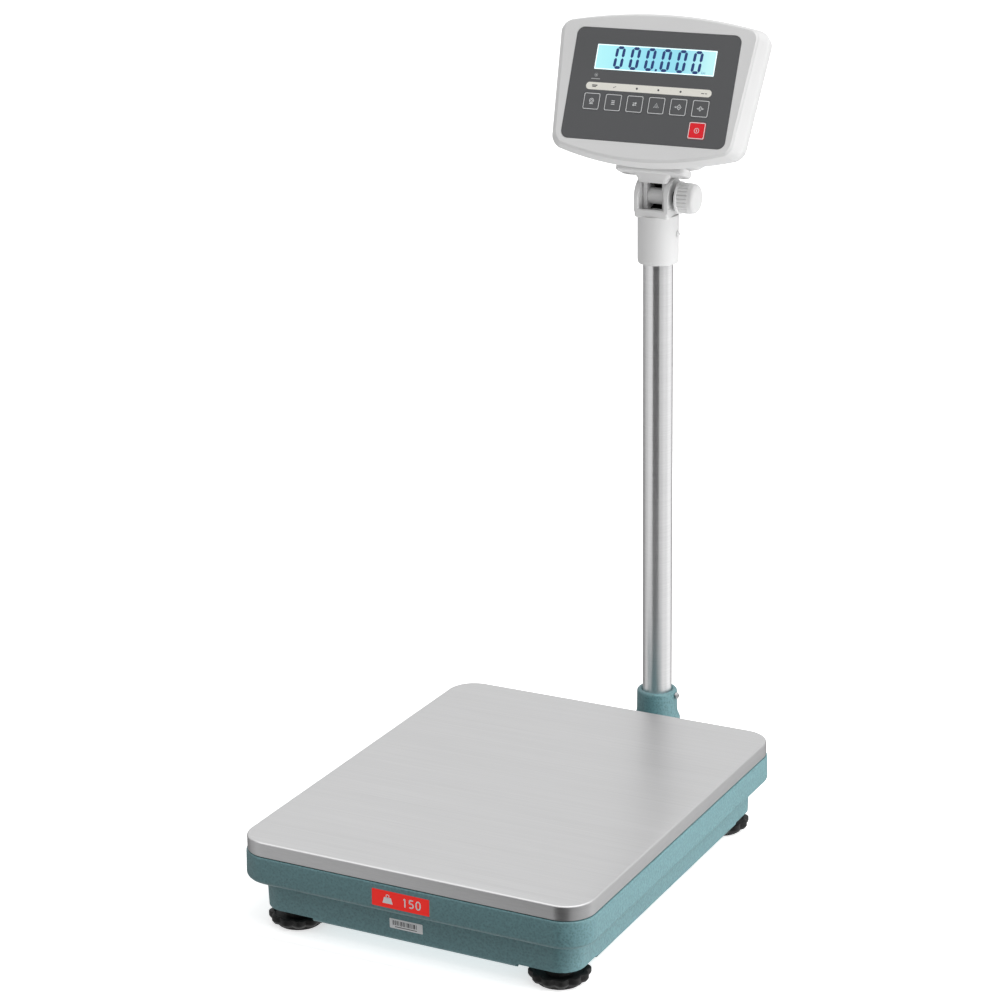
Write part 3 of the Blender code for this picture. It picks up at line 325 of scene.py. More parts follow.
# ---- materials ----
class Shader:
    """A Principled material and short calls for the nodes that feed it."""

    def __init__(self, name, colour, roughness, metallic=0.0, **fixed):
        self.mat = bpy.data.materials.new(name)
        self.mat.use_nodes = True
        self.tree = self.mat.node_tree
        self.surface = self.tree.nodes["Principled BSDF"]
        self.set("Base Color", (*colour, 1.0))
        self.set("Roughness", roughness)
        self.set("Metallic", metallic)
        for socket, value in fixed.items():
            self.set(socket.replace("_", " "), value)
        self.place = self.tree.nodes.new("ShaderNodeTexCoord").outputs["Object"]

    def set(self, socket, value):
        self.surface.inputs[socket].default_value = value

    def link(self, source, target):
        self.tree.links.new(source, target)

    def stretched(self, scale):
        node = self.tree.nodes.new("ShaderNodeMapping")
        node.inputs["Scale"].default_value = scale
        self.link(self.place, node.inputs["Vector"])
        return node.outputs["Vector"]

    def noise(self, scale, detail=3.0, roughness=0.5, stretch=None):
        node = self.tree.nodes.new("ShaderNodeTexNoise")
        node.inputs["Scale"].default_value = scale
        node.inputs["Detail"].default_value = detail
        node.inputs["Roughness"].default_value = roughness
        self.link(self.stretched(stretch) if stretch else self.place, node.inputs["Vector"])
        return node.outputs["Fac"]

    def cells(self, scale, feature="SMOOTH_F1"):
        node = self.tree.nodes.new("ShaderNodeTexVoronoi")
        node.feature = feature
        node.inputs["Scale"].default_value = scale
        self.link(self.place, node.inputs["Vector"])
        return node.outputs["Distance"]

    def ramp(self, source, stops):
        """Colours by a value; stops are (position, (r, g, b))."""
        node = self.tree.nodes.new("ShaderNodeValToRGB")
        elements = node.color_ramp.elements
        while len(elements) < len(stops):
            elements.new(0.5)
        for element, (position, colour) in zip(elements, stops):
            element.position = position
            element.color = (*colour, 1.0)
        self.link(source, node.inputs["Fac"])
        return node.outputs["Color"]

    def span(self, source, low, high, start=0.3, end=0.7):
        """Maps a value that runs from start to end onto low to high."""
        node = self.tree.nodes.new("ShaderNodeMapRange")
        for socket, value in (("From Min", start), ("From Max", end), ("To Min", low), ("To Max", high)):
            node.inputs[socket].default_value = value
        self.link(source, node.inputs["Value"])
        return node.outputs["Result"]

    def sum(self, first, second, weight):
        node = self.tree.nodes.new("ShaderNodeMath")
        node.operation = "MULTIPLY_ADD"
        self.link(second, node.inputs[0])
        node.inputs[1].default_value = weight
        self.link(first, node.inputs[2])
        return node.outputs["Value"]

    def colour(self, source):
        self.link(source, self.surface.inputs["Base Color"])

    def rough(self, source):
        self.link(source, self.surface.inputs["Roughness"])

    def bump(self, source, strength, distance):
        node = self.tree.nodes.new("ShaderNodeBump")
        node.inputs["Strength"].default_value = strength
        node.inputs["Distance"].default_value = distance
        self.link(source, node.inputs["Height"])
        self.link(node.outputs["Normal"], self.surface.inputs["Normal"])


def grade(colour, factor):
    return tuple(channel * factor for channel in colour)


def hammer_paint():
    """Teal hammer-finish enamel: small soft dimples with slightly darker hollows."""
    teal = (0.104, 0.212, 0.230)
    shader = Shader("hammer_paint", teal, 0.40, 0.0, Specular_IOR_Level=0.5)
    dimples = shader.cells(430.0)
    grain = shader.noise(700.0, 3.0, 0.6)
    height = shader.sum(dimples, grain, 0.6)
    shader.colour(shader.ramp(height, [(0.30, grade(teal, 0.76)), (0.60, teal),
                                       (0.95, grade(teal, 1.20))]))
    shader.rough(shader.span(grain, 0.33, 0.50))
    shader.bump(height, 0.60, 0.0005)
    return shader.mat


def brushed_steel(name, colour, roughness, stretch, lines=0.035, **fixed):
    """Stainless sheet with fine straight brush marks along one direction."""
    shader = Shader(name, colour, roughness, 1.0, **fixed)
    marks = shader.noise(1.0, 4.0, 0.65, stretch)
    haze = shader.noise(6.0, 2.0)
    both = shader.sum(marks, haze, 0.35)
    shader.colour(shader.ramp(marks, [(0.30, grade(colour, 0.93)), (0.70, grade(colour, 1.05))]))
    shader.rough(shader.span(both, roughness - lines, roughness + lines, 0.45, 0.90))
    shader.bump(marks, 0.10, 0.00004)
    return shader.mat


def plastic(name, colour, roughness, grain=1400.0, strength=0.12, **fixed):
    """Moulded plastic with a fine spark-eroded grain and a faint tone change."""
    shader = Shader(name, colour, roughness, 0.0, **fixed)
    texture = shader.noise(grain, 3.0, 0.55)
    tone = shader.noise(9.0, 2.0)
    shader.colour(shader.ramp(tone, [(0.25, grade(colour, 0.965)), (0.75, grade(colour, 1.02))]))
    shader.rough(shader.span(texture, roughness - 0.05, roughness + 0.06))
    shader.bump(texture, strength, 0.00008)
    return shader.mat


def cast_metal(name, colour, roughness, grain=700.0):
    """Sand-cast or plated metal with a mottled tone."""
    shader = Shader(name, colour, roughness, 1.0)
    texture = shader.noise(grain, 5.0, 0.6)
    patches = shader.noise(60.0, 3.0)
    shader.colour(shader.ramp(patches, [(0.30, grade(colour, 0.85)), (0.70, grade(colour, 1.08))]))
    shader.rough(shader.span(texture, roughness - 0.08, roughness + 0.10))
    shader.bump(texture, 0.20, 0.00010)
    return shader.mat


def rubber():
    shader = Shader("rubber_black", (0.018, 0.018, 0.019), 0.78)
    texture = shader.noise(1100.0, 4.0, 0.6)
    dust = shader.noise(45.0, 4.0, 0.6)
    shader.colour(shader.ramp(dust, [(0.35, (0.014, 0.014, 0.015)), (0.80, (0.034, 0.033, 0.032))]))
    shader.rough(shader.span(texture, 0.66, 0.88))
    shader.bump(texture, 0.25, 0.00010)
    return shader.mat


def display_glow():
    """The lit display: pale cyan, deeper behind the digits and whiter at the right."""
    shader = Shader("display_glow", (0.01, 0.02, 0.03), 0.25)
    mapping = shader.tree.nodes.new("ShaderNodeSeparateXYZ")
    shader.link(shader.place, mapping.inputs["Vector"])
    half = LCD_SIZE[0] / 2
    across = shader.span(mapping.outputs["X"], 0.0, 1.0, LCD_CENTRE[0] - half, LCD_CENTRE[0] + half)
    cloud = shader.noise(26.0, 2.0)
    mixed = shader.sum(across, cloud, 0.10)
    tint = shader.ramp(mixed, [(0.06, (0.46, 0.93, 0.97)), (0.28, (0.38, 0.86, 0.94)),
                               (0.50, (0.29, 0.74, 0.89)), (0.78, (0.30, 0.74, 0.88)),
                               (1.0, (0.55, 0.94, 0.95))])
    shader.link(tint, shader.surface.inputs["Emission Color"])
    shader.set("Emission Strength", 0.96)
    return shader.mat


def ink(name, colour, roughness=0.5, glow=0.0):
    """Printed ink or film: nearly even, with a faint screen grain."""
    shader = Shader(name, colour, roughness)
    texture = shader.noise(2200.0, 2.0)
    shader.colour(shader.ramp(texture, [(0.30, grade(colour, 0.94)), (0.70, grade(colour, 1.03))]))
    shader.bump(texture, 0.05, 0.00003)
    if glow:
        shader.set("Emission Color", (*colour, 1.0))
        shader.set("Emission Strength", glow)
    return shader.mat


def circuit_green():
    """Lacquered board with a maze of copper tracks under the green."""
    shader = Shader("circuit_green", (0.02, 0.12, 0.05), 0.35)
    node = shader.tree.nodes.new("ShaderNodeTexBrick")
    node.inputs["Scale"].default_value = 60.0
    node.inputs["Color1"].default_value = (0.015, 0.11, 0.045, 1.0)
    node.inputs["Color2"].default_value = (0.02, 0.15, 0.06, 1.0)
    node.inputs["Mortar"].default_value = (0.05, 0.24, 0.09, 1.0)
    shader.link(shader.place, node.inputs["Vector"])
    shader.colour(node.outputs["Color"])
    shader.bump(node.outputs["Fac"], 0.2, 0.0001)
    return shader.mat


def palette():
    return {
        "hammer": hammer_paint(),
        "sheet": brushed_steel("sheet_steel", (0.565, 0.565, 0.568), 0.32, (5.0, 900.0, 900.0)),
        # The skirt's copy of the sheet has a darker colour, which is painted shade; its brush marks run
        # the other way.
        "sheet_side_shaded": brushed_steel("sheet_side_shaded", (0.51, 0.51, 0.515), 0.38, (60.0, 60.0, 900.0)),
        "tube": brushed_steel("tube_steel", (0.88, 0.88, 0.885), 0.30, (8.0, 8.0, 900.0), 0.02,
                              Anisotropic=0.85, Anisotropic_Rotation=0.25),
        "alloy": cast_metal("cast_alloy", (0.42, 0.43, 0.44), 0.45),
        "plated": cast_metal("plated_steel", (0.50, 0.50, 0.51), 0.32, 1500.0),
        "grey": plastic("grey_plastic", (0.725, 0.725, 0.725), 0.45),
        "black": plastic("black_plastic", (0.012, 0.012, 0.012), 0.45, 1000.0, 0.2,
                         Specular_IOR_Level=0.25),
        "film": plastic("panel_film", (0.094, 0.096, 0.100), 0.48, 2600.0, 0.06,
                        Specular_IOR_Level=0.35),
        "red": plastic("red_film", (0.84, 0.008, 0.020), 0.48, 2600.0, 0.05,
                       Specular_IOR_Level=0.25),
        "rubber": rubber(),
        "glow": display_glow(),
        "digit": ink("digit_blue", (0.002, 0.040, 0.20), 0.40),
        "white": ink("ink_white", (0.80, 0.81, 0.82)),
        "pale": ink("ink_pale", (0.50, 0.51, 0.52)),
        "cream": ink("ink_cream", (0.86, 0.84, 0.77)),
        "dark": ink("ink_dark", (0.03, 0.03, 0.035)),
        # The red sticker glows a little, though it is no lamp: painted light.
        "sticker_red_painted_glow": ink("sticker_red_painted_glow", (0.86, 0.010, 0.004), 0.50, 0.24),
        "board": circuit_green(),
        "glow_edge": ink("display_edge", (0.80, 0.93, 0.96), 0.3, 0.75),
        "digit_faint": ink("digit_faint", (0.10, 0.34, 0.62), 0.35),
    }


# ---- base, platter and column ----
def base_ring(half_x, height):
    inset = BASE_HIGH.x - half_x
    half_y = (BASE_HIGH.y - BASE_LOW.y) / 2 - inset
    return rectangle(half_x, half_y, 0.034 - inset * 0.45, height, 20)


def base_casting(mats):
    band = BASE_HIGH.x
    tier = band - TIER_INSET
    low, top, bottom = BAND_BOTTOM, BASE_HIGH.z, BASE_LOW.z
    profile = rounded([(tier - 0.0060, FLOOR_TOP - WALL, 0), (tier - 0.0048, bottom, 0.0006),
                       (tier, bottom, 0.0034), (tier + 0.0010, low, 0.0060), (band, low, 0.0058),
                       (band - 0.0006, top, 0.0016), (band - 0.0042, top, 0.0010),
                       (band - 0.0046, low + WALL, 0.0030), (tier - WALL, low + WALL, 0.0030),
                       (tier - WALL - 0.0008, FLOOR_TOP, 0.0040), (tier - 0.02, FLOOR_TOP, 0)])
    where = upright(0, MIDDLE, 0)
    base = put("base_casting_fine", loft([base_ring(x, z) for x, z in profile]), where, mats["hammer"])
    tier_back = BASE_HIGH.y - TIER_INSET
    for sign_x in (-1, 1):
        for sign_y in (-1, 1):
            size = 0.05
            notch = block(size, size, 0.004, 0.0, NOTCH_TOP, 6)
            cut(base, notch, where @ upright(sign_x * (NOTCH[0] + size), sign_y * (NOTCH[1] + size), 0))
            foot = where @ upright(sign_x * FOOT_PLACE[0], sign_y * FOOT_PLACE[1], 0)
            add(base, turned(rounded([(BOSS_RADIUS - 0.004, NOTCH_TOP + 0.0002, 0),
                                      (BOSS_RADIUS, NOTCH_TOP + 0.0002, 0.001),
                                      (BOSS_RADIUS, BOSS_TOP, 0.0015),
                                      (BOSS_RADIUS - 0.004, BOSS_TOP, 0)]), 48), foot)
            cut(base, rod(STUD_RADIUS + GAP, 0, BOSS_TOP + 0.01, 40), foot)
        post = where @ upright(sign_x * 0.110, -0.150, 0)
        add(base, rod(0.008, FLOOR_TOP - 0.001, 0.037, 32), post)
        cut(base, rod(0.0043, 0.02, 0.04, 32), where @ upright(sign_x * 0.010, 0.056, 0))
        cut(base, rod(0.0033, 0, 0.02, 32), along_y(sign_x * ARM_BOLT[0], tier_back - 0.010, ARM_BOLT[1]))
    cut(base, rod(0.0073, 0, 0.02, 40), along_y(0, tier_back - 0.010, CABLE_HEIGHT))
    dress(base, "base", "hammer_paint", "base_casting")


def platter(mats):
    half_x = PLATTER_HIGH.x
    half_y = (PLATTER_HIGH.y - PLATTER_LOW.y) / 2
    sheet = 0.0012
    bottom = PLATTER_LOW.z - PLATTER_HIGH.z
    profile = rounded([(0.02, -sheet, 0), (sheet, -sheet, 0.0012), (sheet, bottom, 0.0003),
                       (0, bottom, 0.0003), (0, 0, 0.0024), (0.02, 0, 0)], 8)
    rings = [rectangle(half_x - inset, half_y - inset, 0.032 - inset, height, 24)
             for inset, height in profile]
    pan = put("platter_fine", loft(rings), upright(0, MIDDLE, PLATTER_HIGH.z), mats["sheet"])
    dress(pan, "platter", "brushed_steel", "platter", angle=40)
    # The upright skirt faces take the darker copy of the sheet: painted shade.
    pan.data.materials.append(mats["sheet_side_shaded"])
    for face in pan.data.polygons:
        if abs(face.normal.z) < 0.5:
            face.material_index = 1


def foot_wheel(number, mats):
    """A scalloped hand wheel with a dished top, on its threaded stud."""
    low_corner, high_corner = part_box(f"foot_wheel_{number}")
    centre = (low_corner + high_corner) / 2
    low = low_corner.z
    profile = rounded([(0.0100, low, 0), (WHEEL_RADIUS - 0.0026, low, 0.0010),
                       (WHEEL_RADIUS, low + 0.0036, 0.0024), (WHEEL_RADIUS, WHEEL_RIM, 0.0014),
                       (WHEEL_RADIUS - 0.0052, WHEEL_RIM, 0.0010),
                       (WHEEL_RADIUS - 0.0070, WHEEL_RIM - 0.0030, 0.0008),
                       (WHEEL_HUB + 0.0012, WHEEL_RIM - 0.0027, 0.0010),
                       (WHEEL_HUB - 0.0004, WHEEL_TOP, 0.0012), (0.0062, WHEEL_TOP, 0)], 4)
    rings = []
    for reach, height in profile:
        outer = max(0.0, min(1.0, (reach - 0.0258) / 0.0030))
        rings.append(lobed(reach, 0.0036 * outer, height, 12, 12, 1.25))
    wheel = put(f"foot_wheel_{number}_fine", loft(rings), upright(centre.x, centre.y, 0), mats["black"])
    dress(wheel, f"wheel_{number}", "black_plastic", f"foot_wheel_{number}", angle=45)
    turns = int((high_corner.z - WHEEL_TOP) / THREAD_PITCH)
    rings = [circle(STUD_RADIUS - THREAD_DEPTH, WHEEL_TOP - 0.002, 32)]
    for i in range(turns * 2):
        reach = STUD_RADIUS if i % 2 else STUD_RADIUS - THREAD_DEPTH
        rings.append(circle(reach, WHEEL_TOP - 0.0008 + (i + 1) * THREAD_PITCH / 2, 32))
    rings.append(circle(STUD_RADIUS - 0.0014, high_corner.z, 32))
    stud = put(f"foot_stud_{number}", loft(rings), upright(centre.x, centre.y, 0), mats["plated"])
    dress(stud, f"wheel_{number}", "black_plastic")


def foot_sole(number, mats):
    low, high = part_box(f"foot_sole_{number}")
    centre = (low + high) / 2
    radius = (high.x - low.x) / 2
    profile = rounded([(0.004, 0, 0), (radius, 0, 0.0010), (radius, high.z, 0.0012), (0.004, high.z, 0)])
    sole = put(f"foot_sole_{number}_fine", turned(profile), upright(centre.x, centre.y, 0), mats["rubber"])
    dress(sole, f"sole_{number}", "rubber", f"foot_sole_{number}")


def column_arm(mats):
    """The cast arm and socket behind the base."""
    wall = ARM_LOW.y
    reach = COLUMN_Y - wall
    bottom = ARM_LOW.z
    top = 0.0540
    half_z = (top - bottom) / 2
    where = along_y(0, wall, (bottom + top) / 2)
    flange = [rectangle(0.062 - inset, half_z - 0.004 - inset, 0.006, z)
              for inset, z in ((0, 0), (0, 0.0040), (0.001, 0.0050))]
    arm = put("column_arm_fine", loft(flange), where, mats["hammer"])
    beam = [rectangle(half, half_z - 0.004, 0.009, z)
            for half, z in ((0.040, 0.001), (0.0385, 0.006), (0.036, 0.016), (0.034, 0.034),
                            (0.030, 0.070), (0.028, reach))]
    add(arm, loft(beam), where)
    column = upright(0, COLUMN_Y, 0)
    shoulder = 0.0275
    socket = rounded([(0.010, bottom, 0), (shoulder, bottom, 0.0015), (shoulder, top - 0.0050, 0.0030),
                      (SOCKET_RADIUS + 0.0006, top + 0.0010, 0.0050), (SOCKET_RADIUS, 0.0600, 0.01),
                      (SOCKET_RADIUS - 0.0003, ARM_HIGH.z, 0.0036), (0.0200, ARM_HIGH.z, 0)], 8)
    add(arm, turned(socket), column)
    bore = (TUBE_HIGH.x - TUBE_LOW.x) / 2 + GAP
    seat = TUBE_LOW.z - GAP
    cut(arm, turned([(0.0150, 0.0300), (0.0150, seat), (bore, seat), (bore, ARM_HIGH.z - 0.0022),
                     (bore + 0.0023, ARM_HIGH.z + 0.0004), (bore + 0.0023, 0.1)]), column)
    cut(arm, rod(0.0090, -0.01, reach, 40), along_y(0, wall, CABLE_HEIGHT))
    cut(arm, rod(0.0024, 0, 0.03, 32), along_x(bore - 0.002, COLUMN_Y, SOCKET_SCREW_Z))
    for sign in (-1, 1):
        cut(arm, rod(0.0033, -0.01, 0.02, 32), along_y(sign * ARM_BOLT[0], wall, ARM_BOLT[1]))
    dress(arm, "base", "hammer_paint", "column_arm")


def column_tube(mats):
    outer = (TUBE_HIGH.x - TUBE_LOW.x) / 2
    inner = outer - 0.0015
    low, high = TUBE_LOW.z, TUBE_HIGH.z
    tube = put("column_tube_fine", turned([(inner, low), (outer - 0.0003, low), (outer, low + 0.0003),
                                           (outer, high - 0.0003), (outer - 0.0003, high),
                                           (inner, high)], 128, True),
               upright(0, COLUMN_Y, 0), mats["tube"])
    dress(tube, "base", "tube_steel", "column_tube")


# ---- the head's yoke, bracket and knob ----
def ear_outline(radius, half_low, low, steps=32):
    points = [(half_low, low)]
    points += [(radius * math.cos(math.pi * i / steps), radius * math.sin(math.pi * i / steps))
               for i in range(steps + 1)]
    points.append((-half_low, low))
    return points


def soften(obj, width, segments=3, angle=40):
    """Rounds a piece's crisp edges by a small bevel."""
    step = obj.modifiers.new("soften", "BEVEL")
    step.width = width
    step.segments = segments
    step.limit_method = "ANGLE"
    step.angle_limit = math.radians(angle)
    step.harden_normals = True


def head_yoke(mats):
    column = upright(0, COLUMN_Y, 0)
    bore = (TUBE_HIGH.x - TUBE_LOW.x) / 2 + GAP
    bottom = YOKE_LOW.z
    collar = rounded([(bore, bottom, 0), (COLLAR_RADIUS - 0.0010, bottom, 0.0010),
                      (COLLAR_RADIUS, bottom + 0.0040, 0.0030), (COLLAR_RADIUS, YOKE_BOTTOM + 0.001, 0)])
    yoke = put("head_yoke_fine", turned(collar), column, mats["grey"])
    half_x, half_y = YOKE_HALF_WIDTH, YOKE_HALF_DEPTH
    block_rings = [rectangle(half_x - 0.005, half_y - 0.005, 0.0020, YOKE_BOTTOM, 6)]
    for inset, z in rounded([(0.010, YOKE_BOTTOM, 0), (0, YOKE_BOTTOM, 0.0020), (0, YOKE_LIP_TOP, 0)])[1:]:
        block_rings.append(rectangle(half_x - inset, half_y - inset, 0.0030, z, 6))
    add(yoke, loft(block_rings), column)
    ear = ear_outline(half_y, half_y, YOKE_LIP_TOP - TILT_AXIS.z - 0.003)
    thickness = YOKE_HALF_WIDTH - YOKE_INNER
    for start in (YOKE_INNER, -YOKE_HALF_WIDTH):
        add(yoke, extruded(ear, 0, thickness), beside(start))
    cut(yoke, block(YOKE_INNER, 0.0182, 0.002, YOKE_FLOOR, YOKE_LIP_TOP + 0.01, 6), column)
    edge = ear_outline(half_y - 0.0012, half_y - 0.0012, YOKE_LIP_TOP - TILT_AXIS.z)
    panel = [(0.86 * y, 0.86 * z - 0.0006) for y, z in edge]
    for start, low in ((-YOKE_HALF_WIDTH, -0.0001), (YOKE_HALF_WIDTH - 0.0006, 0)):
        cut(yoke, extruded(panel, low, 0.0007), beside(start))
    window_top = YOKE_HIGH.z + 0.01
    middle = (YOKE_LIP_TOP + window_top) / 2
    half_z = (window_top - YOKE_LIP_TOP) / 2
    bevel = loft([rectangle(YOKE_INNER + rim, half_z + rim, 0.002, depth, 6)
                  for rim, depth in ((0.0022, -0.0006), (0.0, 0.0016))])
    cut(yoke, bevel, along_y(0, COLUMN_Y - half_y, middle))
    cut(yoke, rod(BOLT_RADIUS + GAP, -0.04, 0.04, 40), along_x(*TILT_AXIS))
    cut(yoke, turned([(bore, bottom - 0.01), (bore, TUBE_HIGH.z + 0.0023)]), column)
    cut(yoke, rod(0.0060, 0.64, 0.68, 40), column)
    cut(yoke, rod(0.0020, 0, 0.03, 32), along_x(bore - 0.002, COLUMN_Y, YOKE_SCREW_Z))
    soften(yoke, 0.0009, 3)
    dress(yoke, "base", "grey_plastic", "head_yoke")


def tilt_bracket(mats):
    edge = rounded([(0, SLAB_HIGH, 0), (0, SLAB_LOW, 0.0028), (0.006, SLAB_LOW, 0)])
    rings = []
    for inset, height in edge:
        ring = rectangle(0.0425 - inset, 0.0140 - inset, 0.006, height, 10)
        rings.append([(x, z, w - 0.0460) for x, w, z in ring])
    bracket = put("tilt_bracket_fine", loft(rings), FACE, mats["grey"])
    around = Matrix.Translation(TILT_AXIS)
    neck = [[(x, y - 0.006, z) for x, y, z in rectangle(half_x, half_y, 0.004, height, 8)]
            for half_x, half_y, height in ((0.0175, 0.0120, 0.0180), (0.0182, 0.0124, 0.0215),
                                           (0.0200, 0.0135, 0.0250), (0.0235, 0.0145, 0.0290),
                                           (0.0285, 0.0150, 0.0330))]
    add(bracket, loft(neck), around)
    cut(bracket, rod(NECK_CLEARANCE, -0.06, 0.06, 160), along_x(*TILT_AXIS))
    above = block(0.1, 0.06, 0.001, -0.12, 0.02, 2)
    cut(bracket, above, FACE @ upright(0, SLAB_HIGH + 0.0601, 0))
    arc = [(TONGUE_RADIUS * math.cos(math.radians(a)), TONGUE_RADIUS * math.sin(math.radians(a)))
           for a in range(240, 346, 5)]
    tongue = [(0.0110, 0.0240), (-0.0150, 0.0290), (-TONGUE_FRONT, 0.0200),
              (-TONGUE_FRONT, -0.0120)] + arc + [(0.0165, 0.0)]
    for start in (TONGUE_INNER, -TONGUE_OUTER):
        add(bracket, extruded(tongue, 0, TONGUE_OUTER - TONGUE_INNER), beside(start))
    cut(bracket, rod(BOLT_RADIUS + GAP, -0.04, 0.04, 40), along_x(*TILT_AXIS))
    for x in (-SLAB_SCREW_X, SLAB_SCREW_X):
        cut(bracket, rod(0.0020, -0.02, 0.02, 32), FACE @ along_y(x, SLAB_HIGH, SLAB_DEPTH))
        cut(bracket, rod(0.0040, -0.02, 0, 48), FACE @ along_y(x, SLAB_LOW + 0.0045, SLAB_DEPTH))
    soften(bracket, 0.0006, 3)
    dress(bracket, "display_head", "grey_plastic", "tilt_bracket")
    # A dark sheet in the hinge's hollow, as painted shade.
    hinge_painted_shade(mats)


def hinge_painted_shade(mats):
    """A dark curved sheet between the bracket's tongues, behind the sleeve: painted shade for the hinge's
    hollow.
    """
    inner, outer = 0.0136, 0.0148
    turns = [math.radians(a) for a in range(100, -96, -5)]
    shade_arc = [(outer * math.cos(a), outer * math.sin(a)) for a in turns]
    shade_arc += [(inner * math.cos(a), inner * math.sin(a)) for a in reversed(turns)]
    half = TONGUE_INNER - GAP
    shade_sheet = put("hinge_painted_shade", extruded(shade_arc, 0, 2 * half), beside(-half), mats["black"])
    dress(shade_sheet, "display_head", "black_plastic")


def tilt_knob(mats):
    """A thin rim, a barrel with fine straight ribs, and a smooth domed end."""
    start = KNOB_LOW.x
    end = KNOB_HIGH.x
    barrel_end = end - 0.0075
    rim = (KNOB_HIGH.z - KNOB_LOW.z) / 2
    body = rim - 0.0012
    profile = rounded([(0.010, start, 0), (rim, start, 0.0006), (rim, start + 0.0022, 0.0006),
                       (body, start + 0.0030, 0.0004), (body, barrel_end, 0.0003),
                       (body - 0.0003, barrel_end + 0.0002, 0.0001), (body - 0.0012, end, 0.0046),
                       (0.004, end, 0)], 8)
    rings = []
    for reach, height in profile:
        ribbed = reach > body - 0.0002 and start + 0.0031 < height < barrel_end + 0.0001
        rings.append(lobed(reach, 0.0017 if ribbed else 0.0, height, 24, 12, 0.30))
    knob = put("tilt_knob_fine", loft(rings), along_x(0, COLUMN_Y, TILT_AXIS.z), mats["grey"])
    cut(knob, rod(BOLT_RADIUS + GAP, 0, 0.0400, 40), along_x(0, COLUMN_Y, TILT_AXIS.z))
    dress(knob, "knob", "grey_plastic", "tilt_knob", angle=28)


# ---- the display head ----
FRONT_OUTLINES = (
    (0.1265, 0.1148, 0.0695, -0.0683, 0.0130, 0.0170, 0.0110, PARTING),
    (0.1278, 0.1160, 0.0710, -0.0700, 0.0140, 0.0185, 0.0115, -0.0150),
    (0.1262, 0.1142, 0.0710, -0.0697, 0.0140, 0.0182, 0.0110, -0.0105),
    (0.1200, 0.1086, 0.0703, -0.0680, 0.0128, 0.0168, 0.0100, -0.0022),
    (0.1176, 0.1062, 0.0692, -0.0667, 0.0114, 0.0152, 0.0095, 0.0),
)
REAR_OUTLINES = (
    (0.1265, 0.1148, 0.0695, -0.0683, 0.0130, 0.0170, 0.0110, PARTING - GAP),
    (0.1230, 0.1060, 0.0670, -0.0660, 0.0120, 0.0135, 0.0130, -0.0300),
    (0.1160, 0.0560, 0.0620, -0.0730, 0.0090, 0.0075, 0.0150, -0.0400),
    (0.0980, 0.0540, 0.0500, -0.0730, 0.0060, 0.0075, 0.0150, -0.0680),
    (0.0900, 0.0540, 0.0420, -0.0660, 0.0050, 0.0060, 0.0120, HOUSING_BACK),
)


def between(outlines, steps):
    """Smoothly blended outlines that pass through each given one and stay inside their range."""
    blended = []
    count = len(outlines)
    for i in range(count - 1):
        start, end = Vector(outlines[i]), Vector(outlines[i + 1])
        before = Vector(outlines[max(i - 1, 0)])
        after = Vector(outlines[min(i + 2, count - 1)])
        for k in range(steps):
            t = k / steps
            row = []
            for b, s, e, a in zip(before, start, end, after):
                slope_in = (e - b) / 2 if (s - b) * (e - s) > 0 else 0.0
                slope_out = (a - s) / 2 if (e - s) * (a - e) > 0 else 0.0
                row.append(s * (2 * t ** 3 - 3 * t * t + 1) + e * (3 * t * t - 2 * t ** 3)
                           + slope_in * (t ** 3 - 2 * t * t + t) + slope_out * (t ** 3 - t * t))
            row[-1] = start[-1] + (end[-1] - start[-1]) * t
            blended.append(Vector(row))
    blended.append(Vector(outlines[-1]))
    return blended


def shell(outlines, steps, end_wall):
    """A cup with an even wall, its inside first and then back along the outside."""
    outer = between(outlines, steps)
    wall = 0.0025
    inner = [row + Vector((-wall, -wall, -wall, wall, 0, 0, 0, 0)) for row in outer]
    inside = [housing_outline(*row) for row in inner]
    inside[-1] = [(x, y, z + end_wall) for x, y, z in inside[-1]]
    last = outer[-1].copy()
    outer[-1][-1] += math.copysign(0.0005, end_wall)
    outer.append(last + Vector((-0.0004, -0.0004, -0.0004, 0.0004, 0, 0, 0, 0)))
    return loft(inside[::-1] + [housing_outline(*row) for row in outer])


def key_places():
    first, pitch, height = KEY_ROW
    places = [(name, first + i * pitch, height) for i, name in enumerate(KEY_NAMES)]
    places.append(("power", *POWER_KEY))
    return places


def front_housing(mats):
    front = put("front_housing_fine", shell(FRONT_OUTLINES, 5, -0.0027), FACE, mats["grey"])
    seat = [half + GAP for half in OVERLAY_HALF]
    cut(front, block(*seat, OVERLAY_CORNER, -0.0012, THROUGH), FACE)
    window = [size / 2 + GAP for size in LCD_SIZE]
    cut(front, block(*window, 0.001, -THROUGH, THROUGH, 2), FACE @ upright(*LCD_CENTRE, 0))
    for _, x, y in key_places():
        cut(front, block(0.0070, 0.0065, 0.001, -THROUGH, THROUGH, 2), FACE @ upright(x, y, 0))
    dress(front, "display_head", "grey_plastic", "front_housing", angle=24)


def rear_housing(mats):
    rear = put("rear_housing_fine", shell(REAR_OUTLINES, 6, 0.0025), FACE, mats["grey"])
    holes = [(-0.074, 0.034, 0.0022), (0.074, 0.034, 0.0022), (-0.046, -0.057, 0.0022),
             (0.046, -0.057, 0.0022), (0.030, -0.058, 0.0060), (-0.010, -0.058, 0.0063)]
    for x, y, radius in holes:
        cut(rear, rod(radius, -0.02, 0.02, 32), FACE @ upright(x, y, HOUSING_BACK))
    for x in (-SLAB_SCREW_X, SLAB_SCREW_X):
        cut(rear, rod(0.0022, -0.02, 0.02, 32), FACE @ along_y(x, -0.0800, SLAB_DEPTH))
    dress(rear, "display_head", "grey_plastic", "rear_housing", angle=24)


